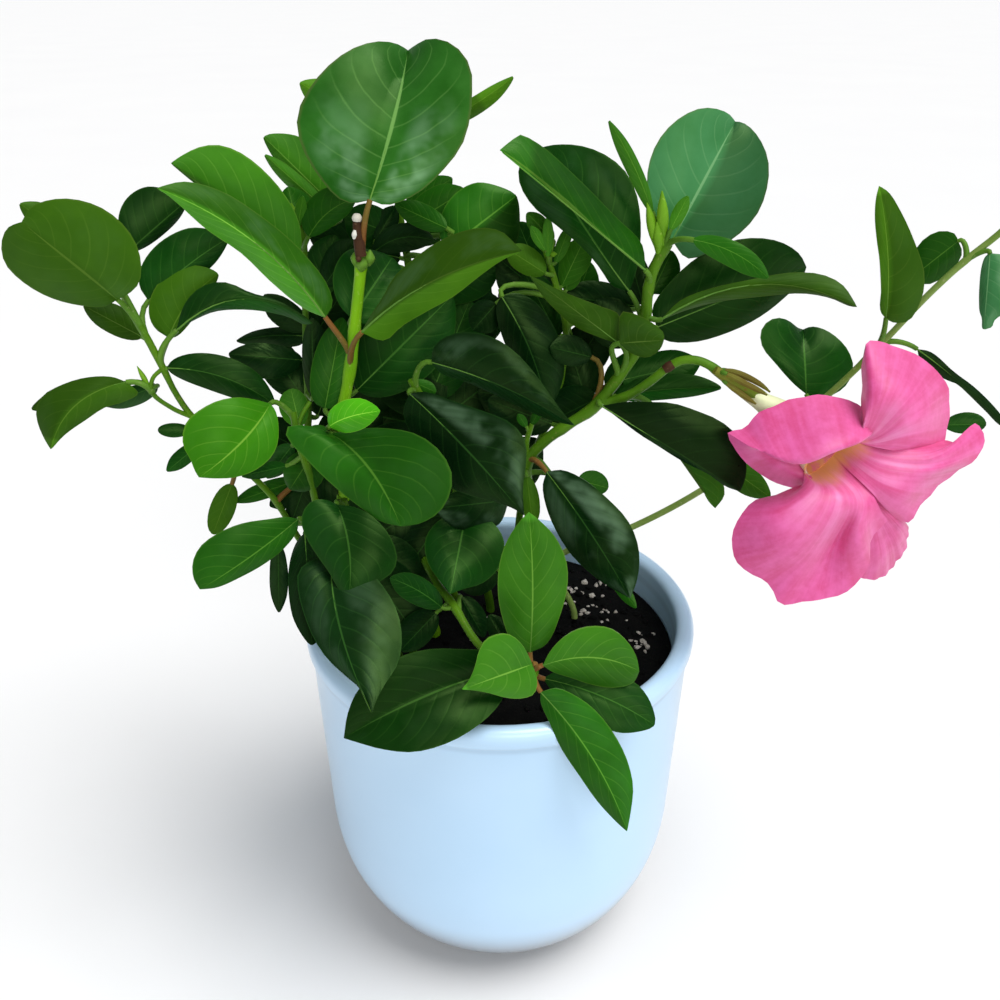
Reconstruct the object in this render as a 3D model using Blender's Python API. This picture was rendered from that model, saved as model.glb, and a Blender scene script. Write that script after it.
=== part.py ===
"""Potted mandevilla: a climbing plant with leafy shoots and one pink bloom in a glazed pot.

The frame is in metres with +Z up. The origin is the centre of the pot's foot, on the ground,
and the side that is seen from the front faces -Y. Sizes in the tables are millimetres.
Leaves and stems are placed where they are seen: a place is a picture point (x, y), counted
in the 1000 x 1000 picture, and a depth, which is the world Y of the piece in millimetres.
"""
import math
from collections import namedtuple

import bpy
from mathutils import Vector, noise

MM = 0.001
GAP = 0.3

# Pot
POT_HEIGHT = 142.0
LIP_RADIUS = 74.5
LIP_THICKNESS = 6.8
LIP_HEIGHT = 9.0
LIP_STEPS = 5
WALL_TOP_RADIUS = 72.8
SHOULDER_RADIUS = 70.5
SHOULDER_DROP = 83.0
FOOT_RADIUS = 30.0
WALL_THICKNESS = 4.2
FLOOR_THICKNESS = 6.0
POT_SIDES = 32

# Soil
SOIL_DROP = 16.0
SOIL_BUMP = 1.6
SOIL_RINGS = 4
ROOT_DEPTH = 16.0

# Plant
BLADE_THICKNESS = 0.8
STALK_RADIUS = 1.15
STEM_SIDES = 6
BUD_SIDES = 5
BLADE_STATIONS = (0.0, 0.14, 0.38, 0.64, 0.87, 1.0)
SMALL_STATIONS = (0.0, 0.25, 0.65, 1.0)
SMALL_LENGTH = 24.0
HEART_STATION = 0.05
SHORT_STALK = 9.0
FOOT_HALF_WIDTH = 0.9
TIP_HALF_WIDTH = 0.5

# Viewpoint from which the picture points are counted
EYE = Vector((0.0, -325.0, POT_HEIGHT + 217.0))
EYE_PITCH = math.radians(27.7)
PICTURE_CENTRE = 500.0
PICTURE_FOCAL = 1000.0

Leaf = namedtuple("Leaf", "stalk base tip depth half turn bow arch wide form",
                  defaults=((0, 0), 0, 0, 0.5, ""))
Stem = namedtuple("Stem", "root route radius", defaults=((2.0, 1.6),))
Bud = namedtuple("Bud", "stalk tip depth radius", defaults=(1.6,))

# Each leaf: where its stalk leaves the stem, base and tip of the blade, depth of base and
# tip, half widths to the left and right of the midrib looking from base to tip, how far each
# half turns away from the viewer in degrees, sideways bow to the left, arch toward the
# viewer, where along the blade it is widest, and the form of its base and tip.
SHOOTS = {
    "crown_shoot": dict(
        stems=[
            Stem((-26, 2), [(352, 520, -4), (341, 440, -10), (344, 405, -12), (350, 370, -12),
                            (356, 315, -12), (361, 262, -12), (365, 218, -12)], (2.4, 2.1)),
        ],
        leaves=[
            Leaf((363, 252), (370, 200), (408, 51), (-14, 22), (25.5, 25.5), (-8, -8), -1, 4, 0.5,
                 "heart notch"),
            Leaf((343, 364), (325, 317), (157, 188), (-14, -26), (10, 9), (50, 42), -5, 0, 0.45),
            Leaf((358, 374), (362, 332), (522, 251), (-20, -32), (12, 10), (35, 35), 4, 2, 0.5),
            Leaf((342, 425), (325, 408), (342, 318), (-8, 8), (7, 7.5), (10, 0), 0, 3, 0.4),
            Leaf((338, 432), (330, 426), (380, 411), (-26, -36), (5.5, 5), (10, 10), 1, 2, 0.5),
            Leaf((338, 440), (331, 434), (401, 526), (-21, -46), (24, 14), (-6, 15), 3, 5, 0.45,
                 "heart"),
            Leaf((347, 400), (357, 390), (452, 296), (6, 18), (17, 14), (0, 10), 0, 3, 0.5),
            Leaf((356, 330), (352, 318), (392, 258), (-4, 16), (14, 13), (0, 0), 0, 3, 0.5),
        ],
    ),
    "bud_shoot": dict(
        stems=[
            Stem((-40, 20), [(312, 470, 14), (308, 400, 14), (306, 330, 13), (305, 280, 12),
                             (303, 240, 12), (297, 214, 12)], (1.8, 1.2)),
        ],
        leaves=[
            Leaf((305, 275), (300, 256), (171, 163), (6, -8), (9, 15), (45, 15), 0, 2, 0.5),
            Leaf((303, 240), (338, 208), (262, 134), (30, 28), (4, 13), (30, 35), 0, 0, 0.5),
            Leaf((303, 240), (322, 206), (265, 155), (23, 21), (3.5, 3.5), (40, 40), 0, 0, 0.4),
            Leaf((304, 250), (300, 236), (288, 187), (16, 20), (5, 7), (20, 20), 0, 0, 0.6),
            Leaf((304, 250), (309, 236), (356, 198), (9, 7), (7, 5), (10, 30), 2, 0, 0.5),
            Leaf((305, 290), (324, 286), (356, 240), (12, 14), (6, 6), (10, 20), 0, 0, 0.55),
            Leaf((307, 370), (302, 360), (229, 354), (14, 8), (8, 5), (20, 20), 0, 2, 0.5),
            Leaf((306, 345), (304, 334), (239, 340), (18, 24), (5, 7), (20, 20), -3, 0, 0.35),
            Leaf((309, 400), (313, 396), (312, 318), (6, 6), (4, 6), (30, 10), 0, 0, 0.5),
        ],
        buds=[Bud((300, 226), (291, 203), 10, 1.1), Bud((303, 232), (305, 207), 10, 1.1)],
    ),
    "left_shoot": dict(
        stems=[
            Stem((-50, 0), [(300, 540, 2), (275, 500, 0), (238, 462, -4), (190, 414, -8),
                            (175, 392, -9), (163, 368, -10), (150, 343, -11), (140, 325, -12)],
                 (1.7, 1.4)),
            Stem(None, [(190, 414, -8), (172, 408, -11), (152, 392, -12), (153, 378, -12),
                        (162, 369, -10)], (1.1, 0.9)),
        ],
        leaves=[
            Leaf((142, 328), (117, 299), (22, 222), (-14, -24), (15.5, 19), (8, 8), 0, 4, 0.55,
                 "blunt notch"),
            Leaf((152, 350), (130, 250), (187, 200), (4, 14), (10, 4), (10, 40), 0, 0, 0.5),
            Leaf((160, 362), (149, 300), (228, 238), (0, 8), (11, 6), (10, 30), 1, 0, 0.45),
            Leaf((163, 366), (169, 337), (218, 274), (-4, 5), (11, 5), (10, 30), 2, 0, 0.45),
            Leaf((164, 367), (177, 330), (313, 323), (-10, -2), (9, 5), (35, 45), 9, 0, 0.45),
            Leaf((148, 338), (142, 337), (86, 308), (-6, 0), (4, 6), (10, 20), 0, 0, 0.5),
            Leaf((152, 392), (126, 382), (51, 449), (-14, -26), (9, 9), (35, 25), -5, 2, 0.5,
                 "blunt"),
            Leaf((154, 390), (157, 386), (104, 405), (-8, -2), (4, 3), (20, 20), 0, 0, 0.5),
            Leaf((165, 369), (168, 368), (274, 404), (-10, -9), (7, 6), (15, 25), 3, 3, 0.5),
            Leaf((200, 425), (190, 430), (158, 430), (-4, -6), (2.6, 2.4), (10, 10), 0, 0, 0.5,
                 "blunt"),
            Leaf((215, 440), (200, 444), (167, 471), (-2, -6), (3, 3.4), (20, 20), 0, 0, 0.5),
            Leaf((240, 465), (232, 484), (213, 534), (0, -4), (4.5, 4.5), (10, 10), 0, 0, 0.5,
                 "blunt"),
            Leaf((276, 502), (298, 480), (235, 502), (6, 2), (2.8, 4), (20, 30), 0, 0, 0.5),
        ],
        buds=[Bud((151, 392), (137, 366), -10, 0.9)],
    ),
    "lime_shoot": dict(
        stems=[
            Stem((-34, -10), [(322, 520, -10), (308, 470, -14), (298, 440, -15),
                              (295, 424, -15), (293, 412, -14)], (1.8, 1.3)),
            Stem(None, [(296, 428, -15), (302, 415, -12), (310, 402, -9)], (0.9, 0.9)),
        ],
        leaves=[
            Leaf((295, 427), (270, 404), (199, 477), (-18, -40), (11.5, 14), (5, 5), 2, 5, 0.45,
                 "blunt"),
            Leaf((297, 432), (300, 427), (291, 389), (-8, -2), (5.5, 4.5), (10, 10), 0, 0, 0.55,
                 "blunt"),
            Leaf((300, 445), (314, 452), (290, 489), (-10, -14), (8, 6.5), (15, 20), 0, 2, 0.5,
                 "blunt"),
            Leaf((300, 448), (292, 446), (267, 478), (-8, -6), (4, 4.5), (20, 20), 0, 0, 0.5),
            Leaf((303, 460), (286, 466), (242, 476), (-12, -13), (2.5, 3), (20, 20), 0, 0, 0.5),
        ],
    ),
    "low_left_shoot": dict(
        stems=[
            Stem((-36, -24), [(350, 560, -28), (346, 520, -30), (344, 499, -30)], (1.7, 1.4)),
            Stem(None, [(349, 548, -29), (325, 530, -27), (299, 519, -26)], (1.2, 1.0)),
        ],
        leaves=[
            Leaf((344, 498), (337, 505), (349, 598), (-37, -58), (16, 13), (10, 20), 2, 4, 0.45,
                 "heart"),
            Leaf((300, 520), (298, 519), (200, 589), (-27, -44), (9, 10.5), (10, 10), 1, 3, 0.6),
            Leaf((346, 530), (331, 556), (372, 713), (-42, -90), (15.5, 11), (12, 12), -3, 3, 0.45,
                 "drip"),
            Leaf((330, 534), (304, 548), (312, 645), (-30, -64), (8, 7), (10, 25), 0, 3, 0.5),
            Leaf((318, 528), (278, 545), (279, 612), (-18, -22), (3.5, 3.2), (15, 15), 0, 0, 0.5),
        ],
        buds=[Bud((346, 512), (337, 495), -27, 1.2)],
    ),
    "front_sprig": dict(
        stems=[
            Stem((-14, 10), [(425, 560, -10), (438, 585, -26), (452, 603, -36),
                             (480, 646, -50), (512, 668, -59), (537, 673, -63)], (1.7, 1.5)),
        ],
        leaves=[
            Leaf((532, 671), (530, 652), (529, 512), (-58, -49), (11.5, 11.5), (8, 8), -1, 2, 0.5,
                 "drip"),
            Leaf((528, 671), (532, 664), (462, 689), (-66, -76), (9, 11.5), (8, 8), 0, 1, 0.38,
                 "heart drip"),
            Leaf((536, 672), (543, 665), (639, 671), (-63, -62), (9.5, 8), (5, 5), 3.5, 3, 0.5),
            Leaf((537, 673), (541, 692), (627, 831), (-66, -84), (9.5, 9), (8, 8), 3, 3, 0.5,
                 "drip"),
            Leaf((536, 674), (545, 679), (654, 725), (-58, -67), (9, 9), (8, -6), 2, 2, 0.6),
            Leaf((490, 652), (506, 668), (344, 738), (-54, -76), (15, 15), (-16, 16), -2, 5, 0.5),
            Leaf((452, 603), (441, 607), (390, 578), (-38, -42), (4.8, 4.6), (10, 10), -1, 0, 0.5),
            Leaf((450, 601), (436, 613), (400, 651), (-34, -40), (5, 6.5), (10, 10), 0, 0, 0.5),
            Leaf((456, 609), (461, 597), (484, 637), (-32, -38), (4.5, 4), (10, 30), 0, 0, 0.5),
            Leaf((500, 660), (505, 645), (489, 615), (-52, -46), (3, 4), (20, 20), 0, 0, 0.5),
        ],
    ),
    "centre_shoot": dict(
        stems=[
            Stem((-4, 18), [(462, 520, 0), (450, 460, -5), (425, 405, -9), (411, 380, -10)],
                 (2.0, 1.4)),
        ],
        leaves=[
            Leaf((418, 392), (410, 394), (524, 515), (-14, -42), (14.5, 13), (5, 10), 1, 4, 0.6),
            Leaf((460, 505), (508, 500), (434, 508), (-12, -24), (9, 6), (10, 20), 0, 2, 0.5,
                 "blunt"),
            Leaf((461, 515), (466, 514), (450, 594), (-12, -41), (15, 12), (10, 10), 0, 2, 0.5),
            Leaf((463, 540), (498, 572), (462, 590), (-6, -12), (5, 5), (10, 10), 0, 0, 0.5),
            Leaf((412, 382), (432, 362), (574, 425), (-14, -26), (15, 8), (20, 60), 2, 3, 0.4),
            Leaf((411, 380), (411, 381), (436, 392), (-6, -8), (2.5, 3), (20, 20), 0, 0, 0.6),
        ],
    ),
    "back_bud_shoot": dict(
        stems=[
            Stem((6, 30), [(528, 470, 20), (556, 400, 16), (566, 330, 14), (557, 288, 12),
                           (549, 262, 12), (543, 243, 12)], (1.9, 1.1)),
        ],
        leaves=[
            Leaf((561, 300), (502, 297), (547, 408), (6, -2), (11, 8), (15, 30), 2, 2, 0.45),
            Leaf((562, 310), (496, 304), (473, 330), (10, 8), (6, 6), (20, 20), 0, 0, 0.5),
            Leaf((566, 330), (636, 306), (562, 296), (22, 18), (6, 7), (15, 15), 0, 0, 0.5),
            Leaf((556, 284), (562, 286), (584, 240), (14, 16), (5, 5.5), (20, 10), 0, 0, 0.6,
                 "blunt"),
            Leaf((557, 288), (566, 290), (573, 262), (18, 20), (3.5, 4), (10, 10), 0, 0, 0.5),
            Leaf((546, 252), (553, 240), (527, 213), (12, 12), (3.5, 3.5), (30, 30), 0, 0, 0.5),
        ],
        buds=[Bud((545, 250), (539, 239), 11, 1.3), Bud((550, 265), (545, 240), 9, 1.4),
              Bud((552, 270), (551, 226), 10, 1.1), Bud((549, 256), (557, 254), 8, 1.0)],
    ),
    "tall_back_shoot": dict(
        stems=[
            Stem((-12, 38), [(432, 440, 32), (416, 340, 32), (408, 262, 32), (398, 205, 36),
                             (392, 150, 40), (392, 118, 42)], (2.0, 1.2)),
        ],
        leaves=[
            Leaf((392, 125), (430, 128), (513, 78), (44, 46), (4, 5), (30, 30), -1, 0, 0.5),
            Leaf((392, 120), (352, 112), (300, 83), (46, 50), (6, 6), (30, 30), 0, 0, 0.5),
            Leaf((408, 258), (446, 250), (516, 196), (16, 22), (13, 14), (10, 15), 0, 2, 0.5),
            Leaf((404, 235), (408, 226), (466, 190), (30, 34), (7, 7), (10, 10), 0, 0, 0.5),
            Leaf((408, 255), (446, 228), (395, 204), (14, 18), (4, 4.5), (20, 20), 0, 0, 0.5),
            Leaf((409, 270), (374, 252), (434, 241), (21, 18), (5, 5), (20, 20), 3, 0, 0.5),
            Leaf((402, 228), (376, 240), (396, 206), (24, 28), (4, 4), (20, 20), 0, 0, 0.5),
        ],
    ),
    "right_shoot": dict(
        stems=[
            Stem((14, 6), [(530, 500, 0), (527, 462, -4), (546, 440, -6), (572, 422, -6),
                           (592, 409, -6), (612, 386, -6), (634, 354, -6), (645, 318, -6),
                           (649, 285, -6), (657, 262, -6), (668, 243, -6)], (2.5, 1.9)),
            Stem(None, [(600, 402, -6), (625, 397, -8), (648, 383, -10), (668, 367, -12)],
                 (1.9, 1.7)),
            Stem(None, [(668, 367, -12), (680, 361, -13), (695, 360, -14), (709, 365, -15),
                        (722, 375, -16), (734, 384, -17.4)], (1.7, 1.7)),
            Stem(None, [(527, 462, -4), (527, 440, -6), (532, 424, -7)], (1.2, 0.9)),
        ],
        leaves=[
            Leaf((640, 336), (629, 291), (537, 149), (0, 16), (12, 20.5), (15, 10), 1, 3, 0.5),
            Leaf((649, 285), (645, 270), (500, 150), (-10, -18), (7, 6), (50, 50), 0, 3, 0.35),
            Leaf((664, 250), (650, 207), (609, 121), (-6, -4), (2.4, 2.8), (15, 15), -1, 0, 0.5),
            Leaf((668, 243), (672, 240), (735, 122), (0, 17), (18.5, 17), (5, 5), 0, 3, 0.5,
                 "heart notch"),
            Leaf((668, 243), (694, 240), (768, 278), (-16, -26), (3.2, 4.4), (15, 15), 2, 0, 0.5),
            Leaf((644, 322), (657, 327), (806, 267), (2, 12), (15, 12), (5, 15), 0, 3, 0.5),
            Leaf((646, 316), (662, 319), (857, 307), (-8, -20), (6.5, 5), (35, 40), 9, 0, 0.5),
            Leaf((597, 404), (602, 406), (755, 496), (-12, -22), (13, 8), (10, 30), 2, 3, 0.55),
            Leaf((622, 398), (640, 402), (716, 507), (-4, -8), (6, 5), (10, 10), 0, 0, 0.7),
            Leaf((622, 398), (690, 440), (770, 497), (0, -4), (5, 5), (10, 10), 0, 0, 0.7),
            Leaf((606, 398), (616, 398), (723, 386), (4, 2), (8, 4), (10, 30), 2, 0, 0.45),
            Leaf((612, 386), (606, 388), (662, 358), (8, 12), (8, 8), (10, 10), 0, 0, 0.5),
            Leaf((650, 285), (652, 293), (672, 251), (15, 19), (5, 6), (10, 10), 0, 0, 0.5),
            Leaf((615, 375), (620, 344), (551, 308), (-10, -14), (6, 11), (25, 20), 0, 0, 0.4),
            Leaf((615, 375), (620, 343), (664, 340), (-14, -19), (9, 6), (20, 20), 0, 0, 0.5,
                 "blunt"),
            Leaf((585, 414), (591, 357), (550, 347), (2, 0), (5, 6), (20, 20), 0, 0, 0.5),
            Leaf((528, 461), (547, 472), (630, 598), (-14, -34), (12, 10), (5, 10), 1, 3, 0.55),
            Leaf((560, 430), (606, 500), (583, 475), (4, 4), (4, 4), (10, 10), 0, 0, 0.5, "blunt"),
            Leaf((530, 430), (532, 424), (540, 409), (-7, -8), (1.5, 1.5), (10, 10), 0, 0, 0.5),
            Leaf((529, 432), (526, 426), (518, 414), (-7, -8), (1.5, 1.5), (10, 10), 0, 0, 0.5),
            Leaf((528, 474), (527, 477), (533, 527), (-8, -14), (3.5, 3), (15, 15), 0, 0, 0.5),
            Leaf((664, 250), (671, 229), (688, 196), (-9, -9), (2.2, 2.2), (20, 20), 0, 0, 0.5),
            Leaf((725, 377), (734, 371), (771, 386), (-17, -18), (1.4, 1.2), (20, 20), 1, 0, 0.4),
            Leaf((725, 378), (727, 394), (747, 417), (-18, -21), (1.3, 1.3), (20, 20), 0, 0, 0.4),
            Leaf((725, 378), (735, 380), (768, 398), (-22, -27), (1.3, 1.3), (20, 20), 0, 0, 0.4),
        ],
        buds=[Bud((662, 252), (662, 191), -10, 2.0), Bud((658, 258), (652, 202), -8, 1.3),
              Bud((660, 256), (657, 225), -9, 1.4)],
    ),
    "vine_shoot": dict(
        stems=[
            Stem((30, 14), [(552, 562, 15), (565, 552, 14), (597, 540, 13), (632, 527, 12),
                            (705, 488, 12), (770, 440, 14), (828, 395, 16), (883, 342, 16),
                            (930, 293, 14), (966, 260, 12), (1000, 233, 10), (1022, 212, 8)],
                 (1.5, 1.3)),
        ],
        leaves=[
            Leaf((818, 402), (806, 394), (803, 330), (18, 36), (16, 15), (5, 5), 0, 3, 0.6,
                 "notch"),
            Leaf((872, 353), (886, 318), (880, 186), (10, 12), (4.5, 11.5), (20, 5), 0, 2, 0.35),
            Leaf((964, 262), (958, 241), (908, 280), (16, 22), (5, 7), (10, 10), 0, 0, 0.4),
            Leaf((967, 260), (991, 254), (984, 336), (8, -2), (10, 4.5), (5, 40), 0, 2, 0.35,
                 "drip"),
            Leaf((880, 345), (917, 349), (1008, 428), (14, 6), (3, 4), (20, 20), 1, 0, 0.4),
            Leaf((868, 357), (944, 425), (986, 424), (12, 10), (4.5, 3.5), (10, 20), 0, 0, 0.55,
                 "blunt"),
            Leaf((1015, 219), (1019, 216), (1040, 186), (9, 8), (3, 3), (15, 15), 0, 0, 0.5),
        ],
    ),
}

# Bloom: the tube's centre line, and the edge of each petal as picture points with depths
TUBE_ROUTE = [(735, 384.6, -17.5), (750, 394, -18), (772, 409, -20), (800, 432, -25),
              (842, 466, -37)]
TUBE_RADII = (2.2, 2.8, 5.0, 7.5, 10.5)
TUBE_WALL = 0.9
TUBE_SIDES = 12
PETAL_RINGS = 4
PETAL_SWELL = 3.5
PETALS = [
    dict(arc=(212, 85), edge=[(797, 488, -31), (748, 466, -30), (727, 433, -29), (760, 414, -27),
                              (815, 397, -25), (858, 405, -25), (873, 427, -29)]),
    dict(arc=(95, 5), edge=[(862, 405, -29), (866, 343, -22), (892, 345, -20), (930, 367, -20),
                            (950, 403, -22), (943, 441, -27)]),
    dict(arc=(20, -45), edge=[(926, 446, -31), (975, 442, -27), (982, 436, -24), (965, 466, -29),
                              (925, 497, -34), (909, 523, -37)]),
    dict(arc=(-35, -80), edge=[(896, 512, -29), (908, 533, -29), (900, 556, -29),
                               (881, 576, -30), (862, 576, -32)]),
    dict(arc=(-55, -155), edge=[(887, 521, -41), (868, 560, -43), (838, 597, -45),
                                (786, 603, -46), (738, 562, -43), (734, 524, -40),
                                (758, 502, -38), (797, 492, -36)]),
]


def at(point, depth):
    """World point in millimetres seen at a picture point, at world Y = depth."""
    across = (point[0] - PICTURE_CENTRE) / PICTURE_FOCAL
    down = (point[1] - PICTURE_CENTRE) / PICTURE_FOCAL
    cos_pitch, sin_pitch = math.cos(EYE_PITCH), math.sin(EYE_PITCH)
    ray = Vector((across, cos_pitch - down * sin_pitch, -sin_pitch - down * cos_pitch))
    return EYE + ray * ((depth - EYE.y) / ray.y)


def tapered(points, radii):
    """Route whose radius goes evenly from the first value to the last."""
    last = len(points) - 1
    return [(place, radii[0] + (radii[1] - radii[0]) * index / last)
            for index, place in enumerate(points)]


def new_object(name, vertices, faces):
    """Mesh object from points in millimetres."""
    mesh = bpy.data.meshes.new(name)
    mesh.from_pydata([Vector(vertex) * MM for vertex in vertices], [], faces)
    mesh.update()
    piece = bpy.data.objects.new(name, mesh)
    bpy.context.scene.collection.objects.link(piece)
    return piece


def tube(name, route, sides):
    """Closed round tube along a route of places and radii."""
    vertices, faces = [], []
    normal = None
    for index, (place, radius) in enumerate(route):
        before = route[max(index - 1, 0)][0]
        after = route[min(index + 1, len(route) - 1)][0]
        along = (after - before).normalized()
        if normal is None:
            normal = along.orthogonal().normalized()
        normal = (normal - along * normal.dot(along)).normalized()
        side = along.cross(normal)
        for corner in range(sides):
            angle = math.tau * corner / sides
            vertices.append(place + (normal * math.cos(angle) + side * math.sin(angle)) * radius)
    for ring in range(len(route) - 1):
        for corner in range(sides):
            a = ring * sides + corner
            b = ring * sides + (corner + 1) % sides
            faces.append((a, b, b + sides, a + sides))
    faces.append(tuple(reversed(range(sides))))
    end = (len(route) - 1) * sides
    faces.append(tuple(range(end, end + sides)))
    return new_object(name, vertices, faces)


def half_width(t, wide):
    """Share of the full half width at a place along a blade, 0 at both ends."""
    shifted = t ** (math.log(0.5) / math.log(wide))
    return math.sqrt(max(0.0, 1.0 - (2.0 * shifted - 1.0) ** 2))


def blade_spine(leaf):
    """Function that gives the midrib's place at a share of the blade's length."""
    start, end = at(leaf.base, leaf.depth[0]), at(leaf.tip, leaf.depth[1])
    middle = (start + end) / 2
    along = (end - start).normalized()
    sight = (middle - EYE).normalized()
    left = along.cross(sight).normalized()
    toward = left.cross(along).normalized()
    if toward.dot(sight) > 0:
        toward = -toward

    def place(t):
        swell = 4 * t * (1 - t)
        return start.lerp(end, t) + left * (leaf.bow * swell) + toward * (leaf.arch * swell)

    return place


def leaf_stations(leaf):
    """Stations of a leaf's blade: fewer on a small leaf, and one more at a heart-shaped foot."""
    spine = blade_spine(leaf)
    small = (spine(1.0) - spine(0.0)).length < SMALL_LENGTH
    stations = SMALL_STATIONS if small else BLADE_STATIONS
    if "heart" in leaf.form:
        stations = (0.0, HEART_STATION) + stations[1:]
    return stations


def blade_frame(spine, t):
    """Place, direction, left and away from the viewer, at a share of a blade's length."""
    place = spine(t)
    along = (spine(min(t + 0.02, 1.0)) - spine(max(t - 0.02, 0.0))).normalized()
    sight = (place - EYE).normalized()
    left = along.cross(sight).normalized()
    away = left.cross(along).normalized()
    if away.dot(sight) < 0:
        away = -away
    return place, along, left, away


def blade_rows(leaf, stations):
    """Left edge, midrib and right edge of a blade at each station."""
    spine = blade_spine(leaf)
    length = (spine(1.0) - spine(0.0)).length
    rows = []
    for t in stations:
        place, along, left, away = blade_frame(spine, t)
        share = half_width(t, leaf.wide)
        back = 0.0
        if "heart" in leaf.form and t > 0.0:
            share = max(share, 0.42 * (1 - t))
            back -= 0.10 * length * max(0.0, 1 - t / 0.3)
        if "notch" in leaf.form:
            share = max(share, 0.40 * t)
            back += 0.03 * length * max(0.0, (t - 0.8) / 0.2)
        if "blunt" in leaf.form:
            share = max(share, 0.25 * t)
        if "drip" in leaf.form and 0.8 < t < 1.0:
            share *= 0.62
        edges = []
        for side, width, turn in ((1, leaf.half[0], leaf.turn[0]), (-1, leaf.half[1], leaf.turn[1])):
            reach = max(width * share, FOOT_HALF_WIDTH * (1 - t), TIP_HALF_WIDTH)
            angle = math.radians(turn)
            edge = left * (side * math.cos(angle)) + away * math.sin(angle)
            edges.append(place + edge * reach + along * back)
        rows.append((edges[0], place, edges[1]))
    return rows


def shell(rows):
    """Both faces of a thin blade around its rows, and its rim but for the first row's part."""
    columns = len(rows[0])
    middle = [point for row in rows for point in row]
    count = len(middle)
    triangles = []
    for r in range(len(rows) - 1):
        for c in range(columns - 1):
            a = r * columns + c
            b, d = a + 1, a + columns
            e = d + 1
            if c < columns // 2:
                triangles += [(a, b, e), (a, e, d)]
            else:
                triangles += [(a, b, d), (b, e, d)]
    normals = [Vector() for _ in middle]
    for a, b, c in triangles:
        face = (middle[b] - middle[a]).cross(middle[c] - middle[a]).normalized()
        for corner in (a, b, c):
            normals[corner] += face
    vertices = []
    for sign in (1, -1):
        for point, normal in zip(middle, normals):
            vertices.append(point + normal.normalized() * (sign * BLADE_THICKNESS / 2))
    faces = list(triangles)
    faces += [(c + count, b + count, a + count) for a, b, c in triangles]
    last = count - columns
    rim = [columns * r + columns - 1 for r in range(len(rows))]
    rim += [last + c for c in range(columns - 2, -1, -1)]
    rim += [columns * r for r in range(len(rows) - 2, -1, -1)]
    for a, b in zip(rim, rim[1:]):
        faces += [(a, a + count, b), (b, a + count, b + count)]
    return vertices, faces, count


def petal_blade(rows):
    """Thin closed petal around its rows."""
    vertices, faces, count = shell(rows)
    for a in range(len(rows[0]) - 1):
        faces += [(a, a + count, a + 1), (a + 1, a + count, a + 1 + count)]
    return new_object("petal", vertices, faces)


def leaf_body(leaf, start, direction):
    """Leaf: its stalk from the stem and its blade as one closed body."""
    spine = blade_spine(leaf)
    vertices, faces, count = shell(blade_rows(leaf, leaf_stations(leaf)))
    base, along, left, away = blade_frame(spine, 0.0)
    reach = (base - start).length
    first = start + direction * (0.25 * reach)
    second = base - along * (0.4 * reach)
    bent = (base - start).normalized().dot(along) < 0.6
    steps = 3 if reach > SHORT_STALK or bent else 1
    ring = [0, 1, 2, 2 + count, 1 + count, count]
    before, axis = base, along
    for step in range(steps - 1, -1, -1):
        t = step / steps
        place = (start * (1 - t) ** 3 + first * (3 * t * (1 - t) ** 2)
                 + second * (3 * t ** 2 * (1 - t)) + base * t ** 3)
        turn = axis.rotation_difference(before - place)
        left.rotate(turn)
        away.rotate(turn)
        before, axis = place, before - place
        after = list(range(len(vertices), len(vertices) + len(ring)))
        for corner in range(len(ring)):
            angle = math.radians(30 + 60 * corner)
            vertices.append(place + (left * math.cos(angle) - away * math.sin(angle))
                            * STALK_RADIUS)
        for a, b, c, d in zip(ring, ring[1:] + ring[:1], after, after[1:] + after[:1]):
            faces.append((b, a, c, d))
        ring = after
    faces.append(tuple(reversed(ring)))
    return new_object("leaf", vertices, faces)


def nearest(route, point):
    """Place and direction on the routes where they pass nearest to a picture point."""
    best = None
    for line in route:
        for index in range(len(line) - 1):
            for share in (0.0, 0.25, 0.5, 0.75, 1.0):
                place = line[index][0].lerp(line[index + 1][0], share)
                seen = picture_point(place)
                gap = math.hypot(seen[0] - point[0], seen[1] - point[1])
                if best is None or gap < best[0]:
                    along = (line[index + 1][0] - line[index][0]).normalized()
                    best = (gap, place, along)
    return best[1], best[2]


def picture_point(place):
    """Picture point where a world point in millimetres is seen."""
    offset = place - EYE
    cos_pitch, sin_pitch = math.cos(EYE_PITCH), math.sin(EYE_PITCH)
    ahead = offset.y * cos_pitch - offset.z * sin_pitch
    down = -offset.y * sin_pitch - offset.z * cos_pitch
    return (PICTURE_CENTRE + PICTURE_FOCAL * offset.x / ahead,
            PICTURE_CENTRE + PICTURE_FOCAL * down / ahead)


def stem_points(stem):
    """Places that a stem passes, from its root in the soil to its end."""
    points = [at(spot[:2], spot[2]) for spot in stem.route]
    if stem.root:
        soil = POT_HEIGHT - SOIL_DROP
        x, y = stem.root
        points = [Vector((x, y, soil - ROOT_DEPTH)), Vector((x, y, soil + 4))] + points
    return points


def bud_route(start, bud):
    """Pointed bud on a thin stalk."""
    end = at(bud.tip, bud.depth)
    shape = ((0.0, 0.6), (0.6, 1.0), (1.0, 0.35))
    return [(start.lerp(end, t), bud.radius * share) for t, share in shape]


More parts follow.
